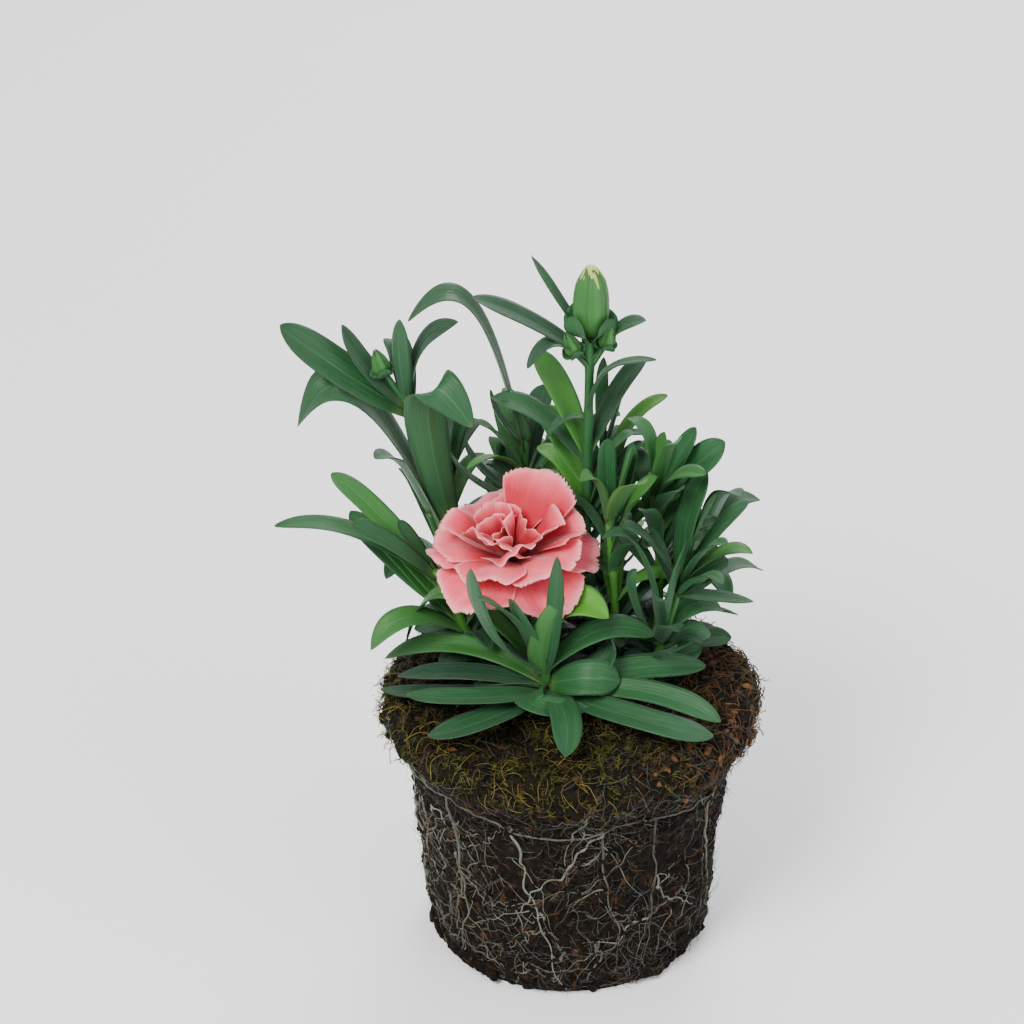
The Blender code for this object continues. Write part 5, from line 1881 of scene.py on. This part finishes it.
@dataclass
class Covering:
    """Scatters small variants over the peat with a Geometry Nodes tree, and makes one piece of them."""

    name: str
    slot: Slot
    variants: bpy.types.Collection
    finish: bpy.types.Material
    share: str
    density: float
    smallest: float = 0.6
    largest: float = 1.3
    lean: float = 0.25
    seed: int = 1
    lift: float = 0.1

    def tree(self) -> bpy.types.GeometryNodeTree:
        """The tree: points on the surface, a variant on each, turned and sized by chance."""
        tree = bpy.data.node_groups.new(self.name + "_scatter", "GeometryNodeTree")
        sockets = (
            ("Surface", "NodeSocketGeometry"),
            ("Variants", "NodeSocketCollection"),
            ("Density", "NodeSocketFloat"),
            ("Smallest", "NodeSocketFloat"),
            ("Largest", "NodeSocketFloat"),
            ("Lean", "NodeSocketFloat"),
            ("Seed", "NodeSocketInt"),
            ("Finish", "NodeSocketMaterial"),
        )
        for name, kind in sockets:
            tree.interface.new_socket(name, in_out="INPUT", socket_type=kind)
        tree.interface.new_socket("Cover", in_out="OUTPUT", socket_type="NodeSocketGeometry")
        start = tree.nodes.new("NodeGroupInput").outputs

        def node(kind: str, inputs: dict, **settings) -> bpy.types.Node:
            """Add a node to this tree."""
            return add_node(tree, kind, inputs, **settings)

        share = node("GeometryNodeInputNamedAttribute", {"Name": self.share}, data_type="FLOAT")
        thick = node("ShaderNodeMath", {0: share.outputs[0], 1: start["Density"]}, operation="MULTIPLY")
        points = node(
            "GeometryNodeDistributePointsOnFaces",
            {"Mesh": start["Surface"], "Density": thick.outputs[0], "Seed": start["Seed"]},
        )
        below = node("ShaderNodeMath", {0: start["Lean"], 1: -1.0}, operation="MULTIPLY")
        least = node("ShaderNodeCombineXYZ", {"X": below.outputs[0], "Y": below.outputs[0]})
        most = node("ShaderNodeCombineXYZ", {"X": start["Lean"], "Y": start["Lean"], "Z": math.tau})
        turn = node(
            "FunctionNodeRandomValue",
            {"Min": least.outputs[0], "Max": most.outputs[0], "Seed": start["Seed"]},
            data_type="FLOAT_VECTOR",
        )
        spin = node("FunctionNodeEulerToRotation", {0: turn.outputs[0]})
        facing = node(
            "FunctionNodeRotateRotation",
            {0: points.outputs["Rotation"], 1: spin.outputs[0]},
            rotation_space="LOCAL",
        )
        size = node("FunctionNodeRandomValue", {"Seed": start["Seed"]}, data_type="FLOAT")
        tree.links.new(start["Smallest"], size.inputs[2])
        tree.links.new(start["Largest"], size.inputs[3])
        kinds = node("GeometryNodeCollectionInfo", {"Collection": start["Variants"]})
        kinds.inputs["Separate Children"].default_value = True
        kinds.inputs["Reset Children"].default_value = True
        placed = node(
            "GeometryNodeInstanceOnPoints",
            {
                "Points": points.outputs["Points"],
                "Instance": kinds.outputs[0],
                "Pick Instance": True,
                "Rotation": facing.outputs[0],
                "Scale": size.outputs[1],
            },
        )
        tone = node("FunctionNodeRandomValue", {"Seed": 7}, data_type="FLOAT")
        toned = node(
            "GeometryNodeStoreNamedAttribute",
            {"Geometry": placed.outputs[0], "Name": "tone"},
            data_type="FLOAT",
            domain="INSTANCE",
        )
        tree.links.new(tone.outputs[1], toned.inputs["Value"])
        real = node("GeometryNodeRealizeInstances", {"Geometry": toned.outputs[0]})
        finish = {"Geometry": real.outputs[0], "Material": start["Finish"]}
        dressed = node("GeometryNodeSetMaterial", finish)
        end = tree.nodes.new("NodeGroupOutput")
        tree.links.new(dressed.outputs[0], end.inputs[0])
        return tree

    def build(self, surface: bpy.types.Mesh) -> None:
        """Scatter the variants over a surface and make the result a piece."""
        tree = self.tree()
        host = bpy.data.objects.new(self.name + "_host", surface.copy())
        bpy.context.scene.collection.objects.link(host)
        scatter = host.modifiers.new("scatter", "NODES")
        scatter.node_group = tree
        values = {
            "Variants": self.variants,
            "Density": self.density,
            "Smallest": self.smallest,
            "Largest": self.largest,
            "Lean": self.lean,
            "Seed": self.seed,
            "Finish": self.finish,
        }
        for item in tree.interface.items_tree:
            if item.in_out == "INPUT" and item.name in values:
                scatter[item.identifier] = values[item.name]
        bpy.context.view_layer.update()
        graph = bpy.context.evaluated_depsgraph_get()
        grown = host.evaluated_get(graph)
        mesh = bpy.data.meshes.new_from_object(grown, preserve_all_data_layers=True, depsgraph=graph)
        host.modifiers.remove(scatter)
        bpy.data.objects.remove(host)
        for variant in list(self.variants.objects):
            bpy.data.objects.remove(variant)
        bpy.data.collections.remove(self.variants)
        mesh.shade_smooth()
        self.keep_in(mesh)
        dress(mesh, self.name, self.slot, self.finish)

    def keep_in(self, mesh: bpy.types.Mesh) -> None:
        """Keep every point above the ground, and peat inside the frame's box."""
        low, high = CAD_BOX
        for vertex in mesh.vertices:
            vertex.co.z = max(vertex.co.z, self.lift * MM)
            if self.slot is Slot.PEAT:
                vertex.co.x = min(max(vertex.co.x, low[0]), high[0])
                vertex.co.y = min(max(vertex.co.y, low[1]), high[1])


# Name, place, size, watts and colour
LAMPS = (
    ("key", (-600, -900, 1250), 600, 33.0, (1.0, 0.985, 0.96)),
    ("fill", (1000, -700, 650), 900, 9.0, (0.95, 0.98, 1.0)),
    ("back", (200, 1100, 1000), 700, 14.0, (1.0, 1.0, 1.0)),
)


@dataclass
class Studio:
    """A plain pale floor, soft lights and the camera at the photograph's angle."""

    target: Vector = field(default_factory=lambda: Vector((-18.3, 0.0, 150.0)))
    distance: float = 900.0
    elevation: float = 29.0
    lens: float = 103.5
    sensor: float = 36.0
    nearest: float = 50.0
    farthest: float = 30000.0
    lamp_aim: Place = (-10, 0, 110)
    sky: Colour = (0.97, 0.98, 1.0)
    sky_strength: float = 0.9
    floor: float = 6000.0

    def camera(self) -> None:
        """Set up the camera."""
        data = bpy.data.cameras.new("front_view")
        data.lens = self.lens
        data.sensor_width = self.sensor
        data.clip_start = self.nearest * MM
        data.clip_end = self.farthest * MM
        camera = bpy.data.objects.new("front_view", data)
        lift = math.radians(self.elevation)
        away = Vector((0.0, -math.cos(lift), math.sin(lift))) * self.distance
        camera.location = (self.target + away) * MM
        camera.rotation_euler = (math.pi / 2 - lift, 0.0, 0.0)
        bpy.context.scene.collection.objects.link(camera)
        bpy.context.scene.camera = camera

    def light(self, name: str, place: Place, size: float, watts: float, colour: Colour) -> None:
        """Add one soft square lamp that faces the plant."""
        data = bpy.data.lights.new(name, "AREA")
        data.size = size * MM
        data.energy = watts
        data.color = colour
        lamp = bpy.data.objects.new(name, data)
        lamp.location = Vector(place) * MM
        aim = Vector(self.lamp_aim) - Vector(place)
        lamp.rotation_euler = aim.to_track_quat("-Z", "Y").to_euler()
        bpy.context.scene.collection.objects.link(lamp)

    def build(self) -> None:
        """Set up camera, lights, background and floor."""
        self.camera()
        for lamp in LAMPS:
            self.light(*lamp)
        world = bpy.data.worlds.new("pale_room")
        world.use_nodes = True
        background = world.node_tree.nodes["Background"]
        background.inputs["Color"].default_value = (*self.sky, 1.0)
        background.inputs["Strength"].default_value = self.sky_strength
        bpy.context.scene.world = world
        bpy.ops.mesh.primitive_grid_add(x_subdivisions=2, y_subdivisions=2, size=self.floor * MM)
        floor = bpy.context.active_object
        floor.name = "floor"
        paint = Paint("pale_floor", 0.8, 0.3)
        soft = paint.noise(paint.place(), 3.0)
        tone = paint.mix(paint.math("MULTIPLY", soft, 0.1), (0.92, 0.92, 0.92), (0.86, 0.86, 0.86))
        floor.data.materials.append(paint.finish(tone, paint.math("ADD", soft, 0.3), soft, 0.0001))
        floor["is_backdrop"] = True


def build_green(finish: bpy.types.Material, cream: bpy.types.Material, bloom: BVHTree) -> None:
    """Make every leafy shoot and the buds that they bear.

    Args:
        finish: The leaves' material.
        cream: The material of the petal tips in the large bud.
        bloom: A search tree of the finished petals.
    """
    cluster = BudCluster()
    tips = Shape()
    grown = [bloom]
    for name, shoot in {**SHOOTS, **back_shoots()}.items():
        shape = Shape()
        placed = LeafyShoot(name, shoot, SHOOT_TONES.get(name, 0.3)).build(shape, bloom)
        cluster.add(name, shape, tips)
        mesh = shape.mesh(name + "_fine")
        grown.append(search_tree(mesh))
        dress(mesh, name + "_leaves", Slot.LEAVES, finish, name)
        LOG.info("%s: %d of %d leaves", name, placed, len(shoot.leaves))
    dress(tips.mesh("bud_tips"), "bud_petal_tips", Slot.PETALS, cream, "shoot_bud")
    YoungLeaves().build(finish, grown)


def build_ball() -> None:
    """Make the peat, its roots and what covers them."""
    peat = PeatFinish().build()
    root = FibreFinish("pale_root", (0.034, 0.033, 0.026), (0.205, 0.215, 0.180), stained=0.6).build()
    hair = FibreFinish("root_hair", (0.022, 0.022, 0.017), (0.120, 0.140, 0.132), stained=0.3).build()
    brown = FibreFinish("brown_fibre", (0.006, 0.0035, 0.002), (0.060, 0.034, 0.015)).build()
    bark = FibreFinish("old_bark", (0.018, 0.008, 0.003), (0.135, 0.060, 0.019), stained=0.3).build()
    mossy = FibreFinish("moss_strand", (0.004, 0.010, 0.002), (0.120, 0.125, 0.012), stained=0.4).build()
    dry = FibreFinish("dry_moss", (0.016, 0.018, 0.004), (0.270, 0.215, 0.045), stained=0.3).build()
    surface = RootBall().shape().mesh("peat_surface")
    Roots(search_tree(surface)).build(root)
    net = Sprigs(1).fibres("hair", 9.0, 0.085, 0.6)
    old = Sprigs(2).fibres("fibre", 6.0, 0.16, 0.9, 6)
    loose = Sprigs(3).hairs("loose", 4.2, 0.08)
    strand = Sprigs(4).moss("moss", 5.2)
    shred = Sprigs(8).fibres("shred", 7.0, 0.19, 1.6, 7)
    straw = Sprigs(9).fibres("straw", 8.5, 0.13, 1.8, 7)
    loam = Sprigs(7).lumps("bark", 1.2)
    kinds = (
        Covering("root_hairs", Slot.ROOTS, net, hair, "fibre", 130000, seed=3),
        Covering("peat_fibres", Slot.ROOTS, old, brown, "fibre", 80000, seed=5),
        Covering("loose_hairs", Slot.ROOTS, loose, hair, "fibre", 26000, lean=0.5, seed=8),
        Covering("moss_strands", Slot.LEAVES, strand, mossy, "moss", 158000, lean=0.7, seed=12),
        Covering("moss_straws", Slot.LEAVES, straw, dry, "moss", 60000, lean=0.35, seed=14),
        Covering("peat_crumbs", Slot.PEAT, Sprigs(5).lumps("crumb", 0.8), peat, "fibre", 120000, seed=15),
        Covering("top_crumbs", Slot.PEAT, Sprigs(6).lumps("top", 1.15), peat, "moss", 110000, seed=21),
        Covering("foot_clods", Slot.PEAT, Sprigs(10).lumps("clod", 1.9), peat, "clod", 110000, seed=24),
        Covering("bark_pieces", Slot.PEAT, loam, bark, "bark", 40000, seed=27),
        Covering("bark_shreds", Slot.ROOTS, shred, bark, "bark", 200000, lean=0.6, seed=31),
    )
    for kind in kinds:
        kind.build(surface)
    dress(surface, "peat", Slot.PEAT, peat, "root_ball")


def write_sizes() -> None:
    """Update the view layer."""
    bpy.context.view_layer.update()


def main() -> None:
    """Build the plant and its studio."""
    logging.basicConfig(level=logging.INFO, format="%(message)s")
    Studio().build()
    leaf = LeafFinish().build()
    build_ball()
    bloom = Bloom()
    petals = bloom.build(PetalFinish().build())
    BloomStem(bloom).build(leaf)
    build_green(leaf, CreamFinish().build(), petals)
    write_sizes()


if __name__ == "__main__":
    main()
